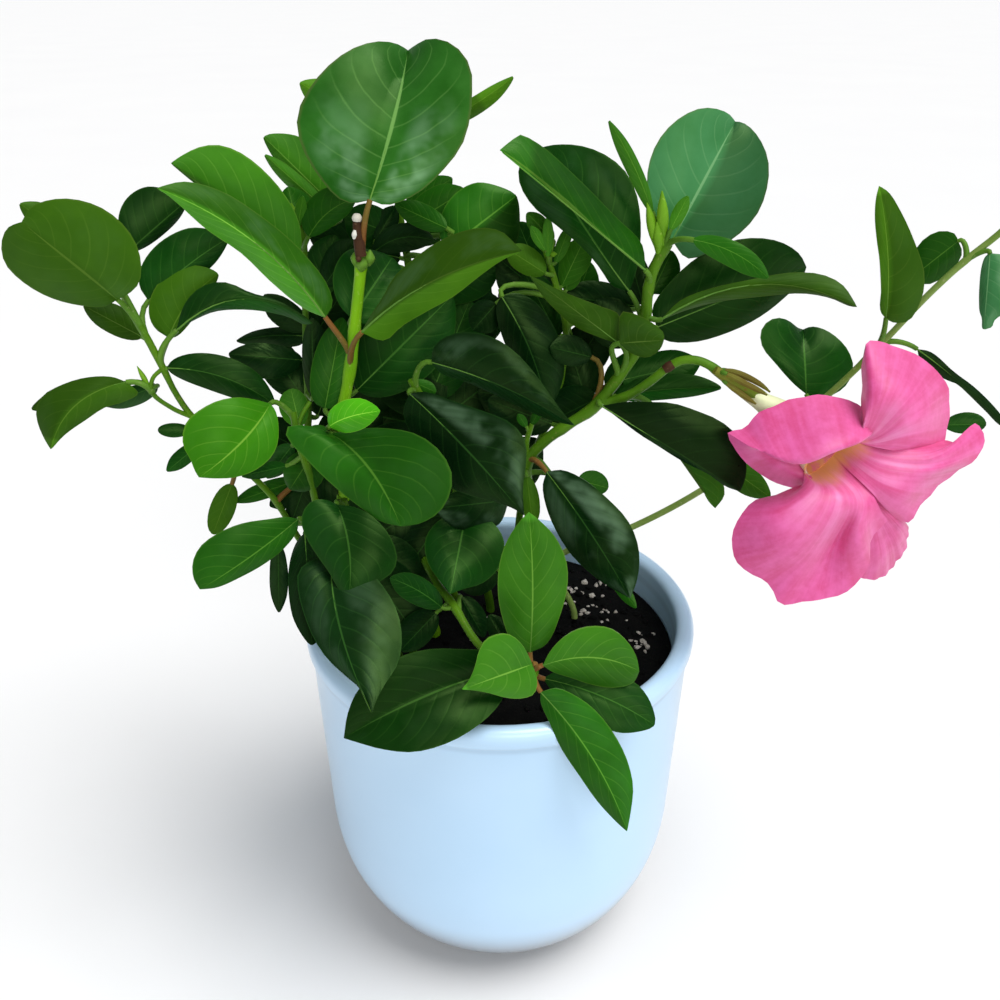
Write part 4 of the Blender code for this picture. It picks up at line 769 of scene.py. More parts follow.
def through(points, share):
    """Place on a smooth curve through points, share from 0 to 1 by the points' spacing."""
    spans = [max((b - a).length, 1e-6) for a, b in zip(points, points[1:])]
    reach = share * sum(spans)
    index = 0
    while index < len(spans) - 1 and reach > spans[index]:
        reach -= spans[index]
        index += 1
    t = min(reach / spans[index], 1.0)
    a, b = points[index], points[index + 1]
    before = points[index - 1] if index > 0 else a * 2 - b
    after = points[index + 2] if index + 2 < len(points) else b * 2 - a
    span = spans[index]
    left = spans[index - 1] if index > 0 else span
    right = spans[index + 1] if index + 1 < len(spans) else span
    slope_a = ((a - before) / left + (b - a) / span) / 2 * span
    slope_b = ((b - a) / span + (after - b) / right) / 2 * span
    return (a * (2 * t ** 3 - 3 * t ** 2 + 1) + slope_a * (t ** 3 - 2 * t ** 2 + t)
            + b * (3 * t ** 2 - 2 * t ** 3) + slope_b * (t ** 3 - t ** 2))


def half_width(t, wide):
    """Share of the full half width at a place along a blade, 0 at both ends."""
    shifted = t ** (math.log(0.5) / math.log(wide))
    return math.sqrt(max(0.0, 1.0 - (2.0 * shifted - 1.0) ** 2))


def blade_spine(leaf):
    """Function that gives the midrib's place at a share of the blade's length."""
    start, end = at(leaf.base, leaf.depth[0]), at(leaf.tip, leaf.depth[1])
    middle = (start + end) / 2
    along = (end - start).normalized()
    sight = (middle - EYE).normalized()
    left = along.cross(sight).normalized()
    toward = left.cross(along).normalized()
    if toward.dot(sight) > 0:
        toward = -toward

    def place(t):
        swell = 4 * t * (1 - t)
        return start.lerp(end, t) + left * (leaf.bow * swell) + toward * (leaf.arch * swell)

    return place


def blade_length(leaf):
    """Length of a blade from base to tip in millimetres."""
    spine = blade_spine(leaf)
    return (spine(1.0) - spine(0.0)).length


def blade_frame(spine, t):
    """Place, direction, left and away from the viewer, at a share of a blade's length."""
    place = spine(t)
    along = (spine(min(t + CURVE_STEP, 1.0)) - spine(max(t - CURVE_STEP, 0.0))).normalized()
    sight = (place - EYE).normalized()
    left = along.cross(sight).normalized()
    away = left.cross(along).normalized()
    if away.dot(sight) < 0:
        away = -away
    return place, along, left, away


def form_share(leaf, t, length):
    """Share of the half width, and shift along the blade, that the leaf's form gives.

    A heart has lobes behind the foot, a notch has them past the tip, a blunt tip is rounded and
    a drip tip is drawn out to a narrow point.
    """
    share = half_width(t, leaf.wide)
    back = 0.0
    if "heart" in leaf.form:
        share = max(share, 0.24 + 1.6 * t if t < 0.12 else 0.43 * (1 - t))
        back -= 0.10 * length * max(0.0, 1 - t / 0.3) * min(1.0, 0.4 + 8 * t)
    if "notch" in leaf.form:
        share = max(share, 0.20 + 2.0 * (1 - t) if t > 0.9 else 0.4 * t)
        back += 0.03 * length * max(0.0, (t - 0.8) / 0.2)
    if "blunt" in leaf.form:
        share = max(share, min(0.25 * t, 0.08 + 3.0 * (1 - t)))
    if not leaf.form and t > 0.7:
        share *= 1 - 0.4 * ((t - 0.7) / 0.3) ** 2
    if "drip" in leaf.form and t > 0.78:
        share *= 1 - 0.45 * math.sin(math.pi * (t - 0.78) / 0.22)
    return share, back


def blade_edge(leaf, outline, side, t):
    """Edge of a blade half at a share of its length; side is 1 for left and -1 for right."""
    spine = blade_spine(leaf)
    place, along, left, away = blade_frame(spine, t)
    which = 0 if side == 1 else 1
    angle = math.radians(leaf.turn[which])
    if outline:
        flat = [leaf.base] + outline[which] + [leaf.tip]
        seen = through([Vector((x, y, 0.0)) for x, y in flat], t)
        aside = abs((at(seen, place.y) - place).dot(left))
        return at(seen, place.y + aside * math.tan(angle) * 0.8)
    share, back = form_share(leaf, t, blade_length(leaf))
    reach = max(leaf.half[which] * share, FOOT_HALF_WIDTH * (1 - t), TIP_HALF_WIDTH)
    edge = left * (side * math.cos(angle)) + away * math.sin(angle)
    return place + edge * reach + along * back


def blade_places(leaf, outline, columns, rows, wave):
    """Points of a blade as (place, share of its length, 0 for its left half and 1 for its right).

    They run row by row from base to tip, and in a row from the left edge to the right.
    """
    spine = blade_spine(leaf)
    amount, turns, phase = wave
    points = []
    for row in range(rows + 1):
        even = row / rows
        t = 0.35 * even + 0.65 * (1 - math.cos(math.pi * even)) / 2
        place, _, _, away = blade_frame(spine, t)
        edges = {side: blade_edge(leaf, outline, side, t) for side in (1, -1)}
        for column in range(columns + 1):
            across = 2 * column / columns - 1
            side = 1 if across < 0 else -1
            share = abs(across)
            spread = edges[side] - place
            camber = BLADE_CAMBER * spread.length * math.sin(math.pi * share)
            ripple = amount * share ** 2 * math.sin(math.tau * (turns * t + phase) + side)
            ripple *= math.sin(math.pi * min(1.0, 0.06 + t))
            spot = place + spread * share + away * (ripple - camber)
            points.append((spot, t, int(column > columns // 2)))
    return points


def sheet(name, columns, rows):
    """Flat blank of a blade: a square grid with its own map from edge to edge."""
    clear_selection()
    bpy.ops.mesh.primitive_grid_add(x_subdivisions=columns, y_subdivisions=rows, size=2 * MM,
                                    calc_uvs=True)
    blank = bpy.context.active_object
    blank.name = name
    blank.data.uv_layers[0].name = "blade"
    return blank


def copy_of(blank, name):
    """Copy of a blank with its own mesh."""
    piece = blank.copy()
    piece.data = blank.data.copy()
    piece.name = name
    bpy.context.scene.collection.objects.link(piece)
    return piece


def shaped(piece, points):
    """Move a blank's points to their places in millimetres."""
    for vertex, point in zip(piece.data.vertices, points):
        vertex.co = point * MM


def thickened(piece, thickness, angle):
    """Give a sheet its thickness, with its second material on the back, and smooth it."""
    wall = piece.modifiers.new("Thickness", "SOLIDIFY")
    wall.thickness = thickness * MM
    wall.offset = 0.0
    wall.use_even_offset = False
    wall.material_offset = 1
    choose([piece])
    bpy.ops.object.modifier_apply(modifier="Thickness")
    smooth(piece, angle)


def write_values(piece, name, values):
    """Store one number for each point of a piece, under the name that its material reads."""
    stored = piece.data.attributes.new(name, "FLOAT", "POINT")
    for item, value in zip(stored.data, values):
        item.value = value


def ropes(name, lines, surfaces):
    """Round bars along lines of (places, radii, name of the surface), as one mesh."""
    clear_selection()
    bpy.ops.curve.primitive_bezier_curve_add(radius=MM)
    piece = bpy.context.active_object
    piece.name = name
    curve = piece.data
    curve.splines.clear()
    curve.dimensions = "3D"
    curve.bevel_depth = MM
    curve.bevel_resolution = 2
    curve.use_fill_caps = True
    curve.resolution_u = 1
    for material in surfaces.values():
        curve.materials.append(material)
    for places, radii, skin in lines:
        spline = curve.splines.new("POLY")
        spline.points.add(len(places) - 1)
        spline.material_index = list(surfaces).index(skin)
        spline.use_smooth = True
        for point, place, radius in zip(spline.points, places, radii):
            point.co = (*(place * MM), 1.0)
            point.radius = radius
    choose([piece])
    piece.location = (0.0, 0.0, 0.0)
    piece.rotation_euler = (0.0, 0.0, 0.0)
    piece.scale = (1.0, 1.0, 1.0)
    bpy.ops.object.convert(target="MESH")
    return bpy.context.active_object


def link(tree, source, target):
    """Connect two sockets."""
    tree.links.new(source, target)


def node(tree, kind, **values):
    """New shader node with its settings."""
    made = tree.nodes.new(kind)
    for key, value in values.items():
        setattr(made, key, value)
    return made


def maths(tree, operation, *inputs):
    """Math node fed with numbers or sockets; gives its output."""
    made = node(tree, "ShaderNodeMath", operation=operation)
    for index, value in enumerate(inputs):
        if isinstance(value, (int, float)):
            made.inputs[index].default_value = value
        else:
            link(tree, value, made.inputs[index])
    return made.outputs[0]


def mapped(tree, value, low, high, out_low=0.0, out_high=1.0):
    """Smooth step of a value from one range into another."""
    made = node(tree, "ShaderNodeMapRange", interpolation_type="SMOOTHSTEP")
    link(tree, value, made.inputs["Value"])
    for key, number in (("From Min", low), ("From Max", high), ("To Min", out_low),
                        ("To Max", out_high)):
        made.inputs[key].default_value = number
    return made.outputs["Result"]


def blend_colour(tree, share, first, second):
    """Mix of two colours or colour sockets."""
    made = node(tree, "ShaderNodeMix", data_type="RGBA")
    for socket, value in ((made.inputs["Factor"], share), (made.inputs[6], first),
                          (made.inputs[7], second)):
        if isinstance(value, (int, float, tuple)):
            socket.default_value = value
        else:
            link(tree, value, socket)
    return made.outputs[2]


def speckle(tree, scale, detail=3.0, rough=0.5):
    """Noise over the piece in Object coordinates, 0 to 1."""
    place = node(tree, "ShaderNodeTexCoord")
    made = node(tree, "ShaderNodeTexNoise")
    made.inputs["Scale"].default_value = scale
    made.inputs["Detail"].default_value = detail
    made.inputs["Roughness"].default_value = rough
    link(tree, place.outputs["Object"], made.inputs["Vector"])
    return made.outputs["Fac"]


def object_axes(tree):
    """Outputs X, Y and Z of a place on the piece in Object coordinates."""
    split = node(tree, "ShaderNodeSeparateXYZ")
    link(tree, node(tree, "ShaderNodeTexCoord").outputs["Object"], split.inputs[0])
    return split.outputs


def new_material(name, roughness, **sockets):
    """Empty material and its shader."""
    material = bpy.data.materials.new(name)
    material.use_nodes = True
    shader = material.node_tree.nodes["Principled BSDF"]
    shader.inputs["Roughness"].default_value = roughness
    for key, value in sockets.items():
        shader.inputs[key.replace("_", " ")].default_value = value
    return material, material.node_tree, shader


def bump(tree, height, strength, depth, shader):
    """Bump of a depth in millimetres from a height onto a shader."""
    made = node(tree, "ShaderNodeBump")
    made.inputs["Strength"].default_value = strength
    made.inputs["Distance"].default_value = depth * MM
    link(tree, height, made.inputs["Height"])
    link(tree, made.outputs["Normal"], shader.inputs["Normal"])


def new_group(name, inputs, outputs):
    """Empty node group with number sockets."""
    group = bpy.data.node_groups.new(name, "ShaderNodeTree")
    for sockets, way in ((inputs, "INPUT"), (outputs, "OUTPUT")):
        for socket in sockets:
            group.interface.new_socket(socket, in_out=way, socket_type="NodeSocketFloat")
    return group


def vein_group():
    """Group that draws a leaf's veins from its own map.

    Its outputs are masks of the side veins, the midrib and the margin, the height of the quilted
    blade between the veins, and where a painted gleam, a highlight painted into the colour, can lie.
    """
    outputs = ("Vein", "Midrib", "Margin", "Quilt", "Gleam")
    group = new_group("leaf veins", ("Veins", "Slant"), outputs)
    enter = node(group, "NodeGroupInput")
    leave = node(group, "NodeGroupOutput")
    split = node(group, "ShaderNodeSeparateXYZ")
    link(group, node(group, "ShaderNodeUVMap", uv_map="blade").outputs["UV"], split.inputs[0])
    across = maths(group, "MULTIPLY_ADD", split.outputs["X"], 2.0, -1.0)
    aside = maths(group, "ABSOLUTE", across)
    sign = maths(group, "MULTIPLY", maths(group, "SIGN", across), 0.22)
    slant = maths(group, "MULTIPLY", aside, enter.outputs["Slant"])
    curve = maths(group, "MULTIPLY", maths(group, "MULTIPLY", aside, aside), 0.09)
    wobble = maths(group, "MULTIPLY_ADD", speckle(group, 90.0, 1.0), 0.03, -0.015)
    along = maths(group, "SUBTRACT", maths(group, "SUBTRACT", split.outputs["Y"], slant), curve)
    along = maths(group, "ADD", along, wobble)
    phase = maths(group, "MULTIPLY_ADD", along, enter.outputs["Veins"], sign)
    saw = maths(group, "FRACT", phase)
    tent = maths(group, "ABSOLUTE", maths(group, "MULTIPLY_ADD", saw, 2.0, -1.0))
    vein = maths(group, "MULTIPLY", mapped(group, tent, 0.86, 0.99), mapped(group, aside, 0.98, 0.55))
    narrow = maths(group, "MULTIPLY_ADD", split.outputs["Y"], -0.022, 0.034)
    rib = mapped(group, maths(group, "DIVIDE", aside, narrow), 1.3, 0.6)
    margin = mapped(group, aside, 0.955, 0.99)
    quilt = maths(group, "SUBTRACT", 1.0, maths(group, "POWER", tent, 3.0))
    wide = maths(group, "MULTIPLY", mapped(group, aside, 0.15, 0.4), mapped(group, aside, 1.0, 0.7))
    # Painted highlight: bands of gleam between the veins, broken up by noise
    band = maths(group, "MULTIPLY", mapped(group, tent, 0.85, 0.1, 0.75, 1.0), wide)
    gleam = maths(group, "MULTIPLY", band, mapped(group, speckle(group, 60.0, 3.0), 0.42, 0.6))
    for name, value in zip(outputs, (vein, rib, margin, quilt, gleam)):
        link(group, value, leave.inputs[name])
    return group


def leaf_material(name, group, body, patch, vein, margin, roughness, relief):
    """Leaf surface: mottled body colour with drawn veins, midrib, margin and a painted gleam, a highlight
    painted into the colour.
    """
    material, tree, shader = new_material(name, roughness, Specular_IOR_Level=0.25,
                                          Specular_Tint=(0.4, 0.75, 0.2, 1.0))
    veins = node(tree, "ShaderNodeGroup", node_tree=group)
    count = node(tree, "ShaderNodeAttribute", attribute_name="vein_count")
    link(tree, count.outputs["Fac"], veins.inputs["Veins"])
    veins.inputs["Slant"].default_value = 0.16
    tone = node(tree, "ShaderNodeAttribute", attribute_name="leaf_tone_and_painted_shade")
    mottle = mapped(tree, speckle(tree, 42.0, 4.0, 0.6), 0.3, 0.7)
    colour = blend_colour(tree, mottle, rgb(*body), rgb(*patch))
    for mask, strength, paint in (("Vein", 0.24, vein), ("Midrib", 0.85, vein),
                                  ("Margin", 0.6, margin)):
        share = maths(tree, "MULTIPLY", veins.outputs[mask], strength)
        colour = blend_colour(tree, share, colour, rgb(*paint))
    # Painted highlight: a pale green gleam mixed into the colour
    gleam = node(tree, "ShaderNodeAttribute", attribute_name="leaf_painted_gleam")
    shine = maths(tree, "MULTIPLY", veins.outputs["Gleam"], gleam.outputs["Fac"])
    colour = blend_colour(tree, shine, colour, rgb(*PAINTED_GLEAM_COLOUR))
    # The tone value holds the leaf's own lightness and the painted light and shade of its halves
    shade = node(tree, "ShaderNodeHueSaturation")
    link(tree, tone.outputs["Fac"], shade.inputs["Value"])
    link(tree, colour, shade.inputs["Color"])
    link(tree, shade.outputs["Color"], shader.inputs["Base Color"])
    gloss = mapped(tree, speckle(tree, 130.0, 2.0), 0.3, 0.7, roughness - 0.05, roughness + 0.07)
    link(tree, gloss, shader.inputs["Roughness"])
    height = maths(tree, "MULTIPLY_ADD", speckle(tree, 900.0, 2.0), 0.12, veins.outputs["Quilt"])
    height = maths(tree, "ADD", height, maths(tree, "MULTIPLY", veins.outputs["Midrib"], 0.5))
    bump(tree, height, relief, 0.5, shader)
    return material


def stem_material(name, body, patch, fleck, roughness):
    """Stem or stalk: soft patches and small flecks."""
    material, tree, shader = new_material(name, roughness, Specular_IOR_Level=0.3,
                                          Specular_Tint=(0.6, 0.8, 0.4, 1.0))
    patches = mapped(tree, speckle(tree, 60.0, 4.0), 0.35, 0.65)
    colour = blend_colour(tree, patches, rgb(*body), rgb(*patch))
    flecks = mapped(tree, speckle(tree, 700.0, 2.0), 0.62, 0.74)
    colour = blend_colour(tree, maths(tree, "MULTIPLY", flecks, 0.5), colour, rgb(*fleck))
    link(tree, colour, shader.inputs["Base Color"])
    bump(tree, speckle(tree, 500.0, 3.0), 0.3, 0.3, shader)
    return material


def petal_material(name, group, deep, pale, heart, roughness):
    """Petal: pink with paler streaks that run from the throat to the edge, and a warm heart."""
    material, tree, shader = new_material(name, roughness, Sheen_Weight=0.25)
    streaks = node(tree, "ShaderNodeGroup", node_tree=group)
    colour = blend_colour(tree, streaks.outputs["Streak"], deep, pale)
    colour = blend_colour(tree, maths(tree, "MULTIPLY", streaks.outputs["Bloom"], 0.4), colour,
                          rgb(250, 186, 226))
    colour = blend_colour(tree, streaks.outputs["Heart"], colour, heart)
    link(tree, colour, shader.inputs["Base Color"])
    bump(tree, streaks.outputs["Ridge"], 0.4, 0.6, shader)
    return material


def drawn_out(group, source, scale, detail):
    """Noise stretched along a petal's own map."""
    stretch = node(group, "ShaderNodeMapping")
    stretch.inputs["Scale"].default_value = scale
    link(group, source, stretch.inputs["Vector"])
    made = node(group, "ShaderNodeTexNoise")
    made.inputs["Scale"].default_value = 1.0
    made.inputs["Detail"].default_value = detail
    link(group, stretch.outputs["Vector"], made.inputs["Vector"])
    return made.outputs["Fac"]


def petal_group():
    """Group that draws a petal's streaks, its lilac bloom and its heart from its own map."""
    outputs = ("Streak", "Bloom", "Heart", "Ridge")
    group = new_group("petal streaks", (), outputs)
    leave = node(group, "NodeGroupOutput")
    source = node(group, "ShaderNodeUVMap", uv_map="blade").outputs["UV"]
    split = node(group, "ShaderNodeSeparateXYZ")
    link(group, source, split.inputs[0])
    fine = drawn_out(group, source, (34.0, 1.6, 1.0), 3.0)
    wide = drawn_out(group, source, (7.0, 1.2, 1.0), 2.0)
    both = maths(group, "ADD", maths(group, "MULTIPLY", fine, 0.3), maths(group, "MULTIPLY", wide, 0.35))
    both = maths(group, "ADD", both, maths(group, "MULTIPLY", speckle(group, 260.0, 4.0, 0.65), 0.35))
    streak = mapped(group, both, 0.36, 0.66)
    near = mapped(group, split.outputs["Y"], 0.75, 0.2)
    lilac = maths(group, "MULTIPLY", near, mapped(group, wide, 0.42, 0.66, 0.3))
    ragged = maths(group, "MULTIPLY_ADD", wide, 0.12, split.outputs["Y"])
    heart = mapped(group, ragged, 0.28, 0.08)
    for name, value in zip(outputs, (streak, lilac, heart, both)):
        link(group, value, leave.inputs[name])
    return group


def glaze_material():
    """Pale blue glaze, faintly clouded, with painted shade: a darker line under the lip and grey toward the
    foot.
    """
    material, tree, shader = new_material("pale blue glaze", 0.3, Coat_Weight=0.25)
    cloud = mapped(tree, speckle(tree, 14.0, 4.0), 0.3, 0.7)
    colour = blend_colour(tree, cloud, rgb(188, 222, 250), rgb(194, 226, 253))
    height = object_axes(tree)["Z"]
    under_lip = (POT_HEIGHT - LIP_HEIGHT) * MM
    # Painted shade: a darker line just under the lip, where the lip shades the wall
    line = maths(tree, "MULTIPLY", mapped(tree, height, under_lip - 2 * MM, under_lip),
                 mapped(tree, height, under_lip + 3 * MM, under_lip + MM))
    colour = blend_colour(tree, maths(tree, "MULTIPLY", line, 0.4), colour, rgb(158, 188, 212))
    # Painted shade: grey toward the foot, for the shade under the rounded bottom
    foot = mapped(tree, height, FOOT_SHADE_HEIGHT * MM, FOOT_SHADE_FULL * MM)
    colour = blend_colour(tree, foot, colour, rgb(140, 148, 156))
    link(tree, colour, shader.inputs["Base Color"])
    gloss = mapped(tree, speckle(tree, 55.0, 3.0), 0.3, 0.7, 0.28, 0.34)
    link(tree, gloss, shader.inputs["Roughness"])
    return material


def soil_material(name, body, patch, fleck):
    """Dark crumbly soil."""
    material, tree, shader = new_material(name, 0.9, Specular_IOR_Level=0.1)
    colour = blend_colour(tree, mapped(tree, speckle(tree, 260.0, 5.0, 0.7), 0.35, 0.65), body,
                          patch)
    colour = blend_colour(tree, mapped(tree, speckle(tree, 1400.0, 2.0), 0.66, 0.74), colour,
                          fleck)
    link(tree, colour, shader.inputs["Base Color"])
    bump(tree, speckle(tree, 800.0, 5.0, 0.7), 0.8, 1.2, shader)
    return material


def turned(name, profile, sides):
    """Body turned about Z: a circle drawn out ring by ring along a profile, closed at both ends."""
    clear_selection()
    radius, height = profile[0]
    bpy.ops.mesh.primitive_circle_add(vertices=sides, radius=radius * MM, fill_type="TRIFAN",
                                      location=(0, 0, height * MM))
    piece = bpy.context.active_object
    bpy.ops.object.transform_apply(location=True)
    bpy.ops.object.mode_set(mode="EDIT")
    bpy.ops.mesh.select_mode(type="VERT")
    bpy.ops.mesh.select_all(action="SELECT")
    bpy.ops.mesh.flip_normals()
    bpy.ops.mesh.select_mode(type="EDGE")
    bpy.ops.mesh.select_all(action="DESELECT")
    bpy.ops.mesh.select_non_manifold(extend=False)
    for after_radius, after_height in profile[1:]:
        bpy.ops.mesh.extrude_edges_move(
            TRANSFORM_OT_translate={"value": (0, 0, (after_height - height) * MM)})
        scale = after_radius / radius
        bpy.ops.transform.resize(value=(scale, scale, 1), center_override=(0, 0, 0))
        radius, height = after_radius, after_height
    bpy.ops.mesh.extrude_edges_move(TRANSFORM_OT_translate={"value": (0, 0, 0)})
    bpy.ops.mesh.merge(type="CENTER")
    bpy.ops.mesh.select_all(action="SELECT")
    bpy.ops.mesh.normals_make_consistent(inside=False)
    bpy.ops.object.mode_set(mode="OBJECT")
    piece.name = name
    piece.data.name = name
    return piece


def bowl(foot, reach, floor, shoulder, steps):
    """Quarter of an oval as a profile, from the foot's edge up to the shoulder."""
    profile = []
    for step in range(steps + 1):
        angle = math.pi / 2 * (1 - step / steps)
        profile.append((foot + (reach - foot) * math.cos(angle),
                        shoulder + (floor - shoulder) * math.sin(angle)))
    return profile


def outer_wall():
    """Outer profile of the pot from the foot's edge up to the lip."""
    shoulder = POT_HEIGHT - SHOULDER_DROP
    profile = bowl(FOOT_RADIUS, SHOULDER_RADIUS, 0.0, shoulder, WALL_STEPS)
    for step in (1, 2, 3):
        share = step / 3
        profile.append((SHOULDER_RADIUS + (WALL_TOP_RADIUS - SHOULDER_RADIUS) * share,
                        shoulder + (POT_HEIGHT - LIP_HEIGHT - shoulder) * share))
    return profile


def inner_wall(clearance=0.0):
    """Inner profile of the pot from the floor up to its shoulder, less a clearance."""
    return bowl(FOOT_RADIUS - INNER_FOOT_INSET, SHOULDER_RADIUS - WALL_THICKNESS - clearance,
                FLOOR_THICKNESS + clearance, POT_HEIGHT - SHOULDER_DROP, INNER_STEPS)


def make_pot():
    """Pot with its rounded lip, and a soft step under it."""
    round_lip = LIP_THICKNESS / 2
    lip_centre = LIP_RADIUS - round_lip
    lip_level = POT_HEIGHT - round_lip
    profile = outer_wall()
    for radius, drop in ((WALL_TOP_RADIUS + 0.2, 8.2), (WALL_TOP_RADIUS + 0.9, 7.4),
                         (LIP_RADIUS - 0.35, 6.6), (LIP_RADIUS, 5.4)):
        profile.append((radius, POT_HEIGHT - drop))
    for step in range(LIP_STEPS + 1):
        angle = math.pi * step / LIP_STEPS
        profile.append((lip_centre + round_lip * math.cos(angle),
                        lip_level + round_lip * math.sin(angle)))
    profile.append((LIP_RADIUS - LIP_THICKNESS, POT_HEIGHT - LIP_HEIGHT))
    profile += reversed(inner_wall())
    pot = turned("pot_body", profile, POT_SIDES)
    smooth(pot, 50)
    pot.data.materials.append(glaze_material())
    return finished(pot, "pot_glaze", "pot")


def finished(piece, slot, *nodes):
    """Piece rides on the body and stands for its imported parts."""
    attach(piece, "root")
    if nodes:
        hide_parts(*nodes)
    return piece


def soil_height(x, y, edge):
    """Height of the soil's top above its level, lumpy and a little raised in the middle."""
    reach = math.hypot(x, y)
    lump = noise.noise(Vector((x, y, 0.0)) * 0.07) * SOIL_LUMP
    crumb = noise.noise(Vector((x, y, 5.0)) * 0.35) * SOIL_CRUMB
    calm = min(1.0, (edge - reach) / SOIL_CALM_EDGE)
    return (lump + crumb) * calm + SOIL_DOME * (1 - reach / edge)


def on_level(point, level):
    """World point in millimetres seen at a picture point, on a level surface."""
    near, far = at(point, EYE.y + 100.0), at(point, EYE.y + 400.0)
    return near.lerp(far, (level - near.z) / (far.z - near.z))


def make_bit(blank, name, index, spot, level, edge, radii, draw):
    """One crumb or grain, rough and flattened, lying on the soil's top."""
    size = draw.uniform(*radii) * (0.6 + 0.4 * draw.random())
    flat = Vector((draw.uniform(0.7, 1.3), draw.uniform(0.7, 1.3), draw.uniform(0.5, 0.9)))
    x, y = spot
    centre = Vector((x, y, level + soil_height(x, y, edge) + size * 0.15))
    bit = copy_of(blank, name)
    seed = Vector((index * 3.1, 0.0, 0.0))
    for vertex in bit.data.vertices:
        way = vertex.co.normalized()
        rough = 1.0 + 0.8 * noise.noise(way * 1.7 + seed)
        vertex.co = (centre + way * flat * (size * rough)) * MM
    return bit


def make_soil(draw):
    """Soil body with a crumbly top, loose crumbs on it and pale grains among them."""
    level = POT_HEIGHT - SOIL_DROP
    wall = inner_wall(SOIL_GAP)
    inner_top = LIP_RADIUS - LIP_THICKNESS
    bottom_radius, bottom_level = wall[-1]
    rise = (level - bottom_level) / (POT_HEIGHT - LIP_HEIGHT - bottom_level)
    edge = bottom_radius + (inner_top - SOIL_GAP - bottom_radius) * rise - SOIL_GAP / 2
    profile = wall + [(edge * (1 - ring / SOIL_RINGS), level) for ring in range(SOIL_RINGS)]
    body = turned("soil_body", profile, POT_SIDES)
    for vertex in body.data.vertices:
        if vertex.co.z > (level - 0.5) * MM:
            vertex.co.z += soil_height(vertex.co.x / MM, vertex.co.y / MM, edge) * MM
    smooth(body, 60)
    # Partly the soil's own dark colour, partly painted shade from the leaves above it
    dark = soil_material("damp soil and painted shade", rgb(4, 5, 5), rgb(10, 10, 9), rgb(30, 27, 23))
    body.data.materials.append(dark)
    finished(body, "potting_soil", "soil")
    pale = soil_material("pale grains", rgb(196, 192, 184), rgb(170, 164, 154), rgb(226, 224, 218))
    clear_selection()
    bpy.ops.mesh.primitive_ico_sphere_add(subdivisions=1, radius=MM)
    blank = bpy.context.active_object
    for name, count, radii, material in (("soil_crumbs", CRUMBS, CRUMB_RADII, dark),
                                         ("soil_grains", GRAINS, GRAIN_RADII, pale)):
        bits = []
        for index in range(count):
            reach = (edge - CRUMB_MARGIN) * math.sqrt(draw.random())
            turn = draw.uniform(0, math.tau)
            spot = reach * math.cos(turn), reach * math.sin(turn)
            if name == "soil_grains" and index % 4:
                seen = on_level(GRAIN_SPOTS[index % len(GRAIN_SPOTS)], level)
                spot = seen.x + draw.gauss(0, GRAIN_SCATTER), seen.y + draw.gauss(0, GRAIN_SCATTER)
            bits.append(make_bit(blank, name, index, spot, level, edge, radii, draw))
        piece = joined(name, bits)
        smooth(piece, 70)
        piece.data.materials.append(material)
        finished(piece, "potting_soil")
    bpy.data.objects.remove(blank)


def stem_lines(shoot):
    """Stems as lines of places and radii, from the soil to their ends."""
    lines = []
    for stem in shoot["stems"]:
        points = [at(spot, spot[2]) for spot in stem.route]
        if stem.root:
            soil = POT_HEIGHT - SOIL_DROP
            points = [Vector((*stem.root, soil - ROOT_DEPTH)), Vector((*stem.root, soil + 4))] + points
        else:
            points[0] = nearest(lines, stem.route[0])[0]
        count = STEM_STEPS * (len(points) - 1)
        shares = [step / count for step in range(count + 1)]
        thick, thin = stem.radius
        lines.append(([through(points, share) for share in shares],
                      [thick + (thin - thick) * share for share in shares]))
    return lines


def nearest(lines, point):
    """Place and direction where the lines pass nearest to a picture point."""
    best = None
    for places, _ in lines:
        for place, after in zip(places, places[1:]):
            seen = picture_point(place)
            gap = math.hypot(seen[0] - point[0], seen[1] - point[1])
            if best is None or gap < best[0]:
                best = (gap, place, (after - place).normalized())
    return best[1], best[2]


def swollen(line, joints):
    """A stem's line with a swelling where each leaf stalk leaves it."""
    places, radii = line
    grown = []
    for place, radius in zip(places, radii):
        near = min((place - joint).length for joint in joints)
        swell = STEM_NODE_SWELL * math.exp(-(near / STEM_NODE_REACH) ** 2)
        grown.append(radius * STEM_SLIMNESS * (1 + swell))
    return places, grown


def stalk_line(leaf, start, direction):
    """Leaf stalk from its stem into the foot of the blade."""
    spine = blade_spine(leaf)
    base = spine(0.0)
    lead = (spine(0.08) - base).normalized()
    reach = (base - start).length
    first = start + direction * (0.25 * reach)
    second = base - lead * (0.4 * reach)
    size = min(1.0, 0.55 + reach / 40 + blade_length(leaf) / 120)
    places, radii = [], []
    for step in range(STALK_STEPS + 1):
        t = step / STALK_STEPS
        places.append(start * (1 - t) ** 3 + first * (3 * t * (1 - t) ** 2)
                      + second * (3 * t ** 2 * (1 - t)) + base * t ** 3)
        radii.append(STALK_RADIUS * size * (1.15 - 0.35 * t))
    return places, radii


def midrib_line(leaf):
    """Raised midrib along the blade, thinning to the tip."""
    spine = blade_spine(leaf)
    thick = 0.2 + blade_length(leaf) / 300
    shares = [MIDRIB_END * step / MIDRIB_STEPS for step in range(MIDRIB_STEPS + 1)]
    return [spine(t) for t in shares], [thick * (1 - 0.78 * t) for t in shares]


def bud_line(bud, start):
    """Bud from its stalk's start to its tip."""
    end = at(bud.tip, bud.depth)
    last = len(BUD_SHAPE) - 1
    return ([start.lerp(end, step / last) for step in range(last + 1)],
            [bud.radius * share for share in BUD_SHAPE])


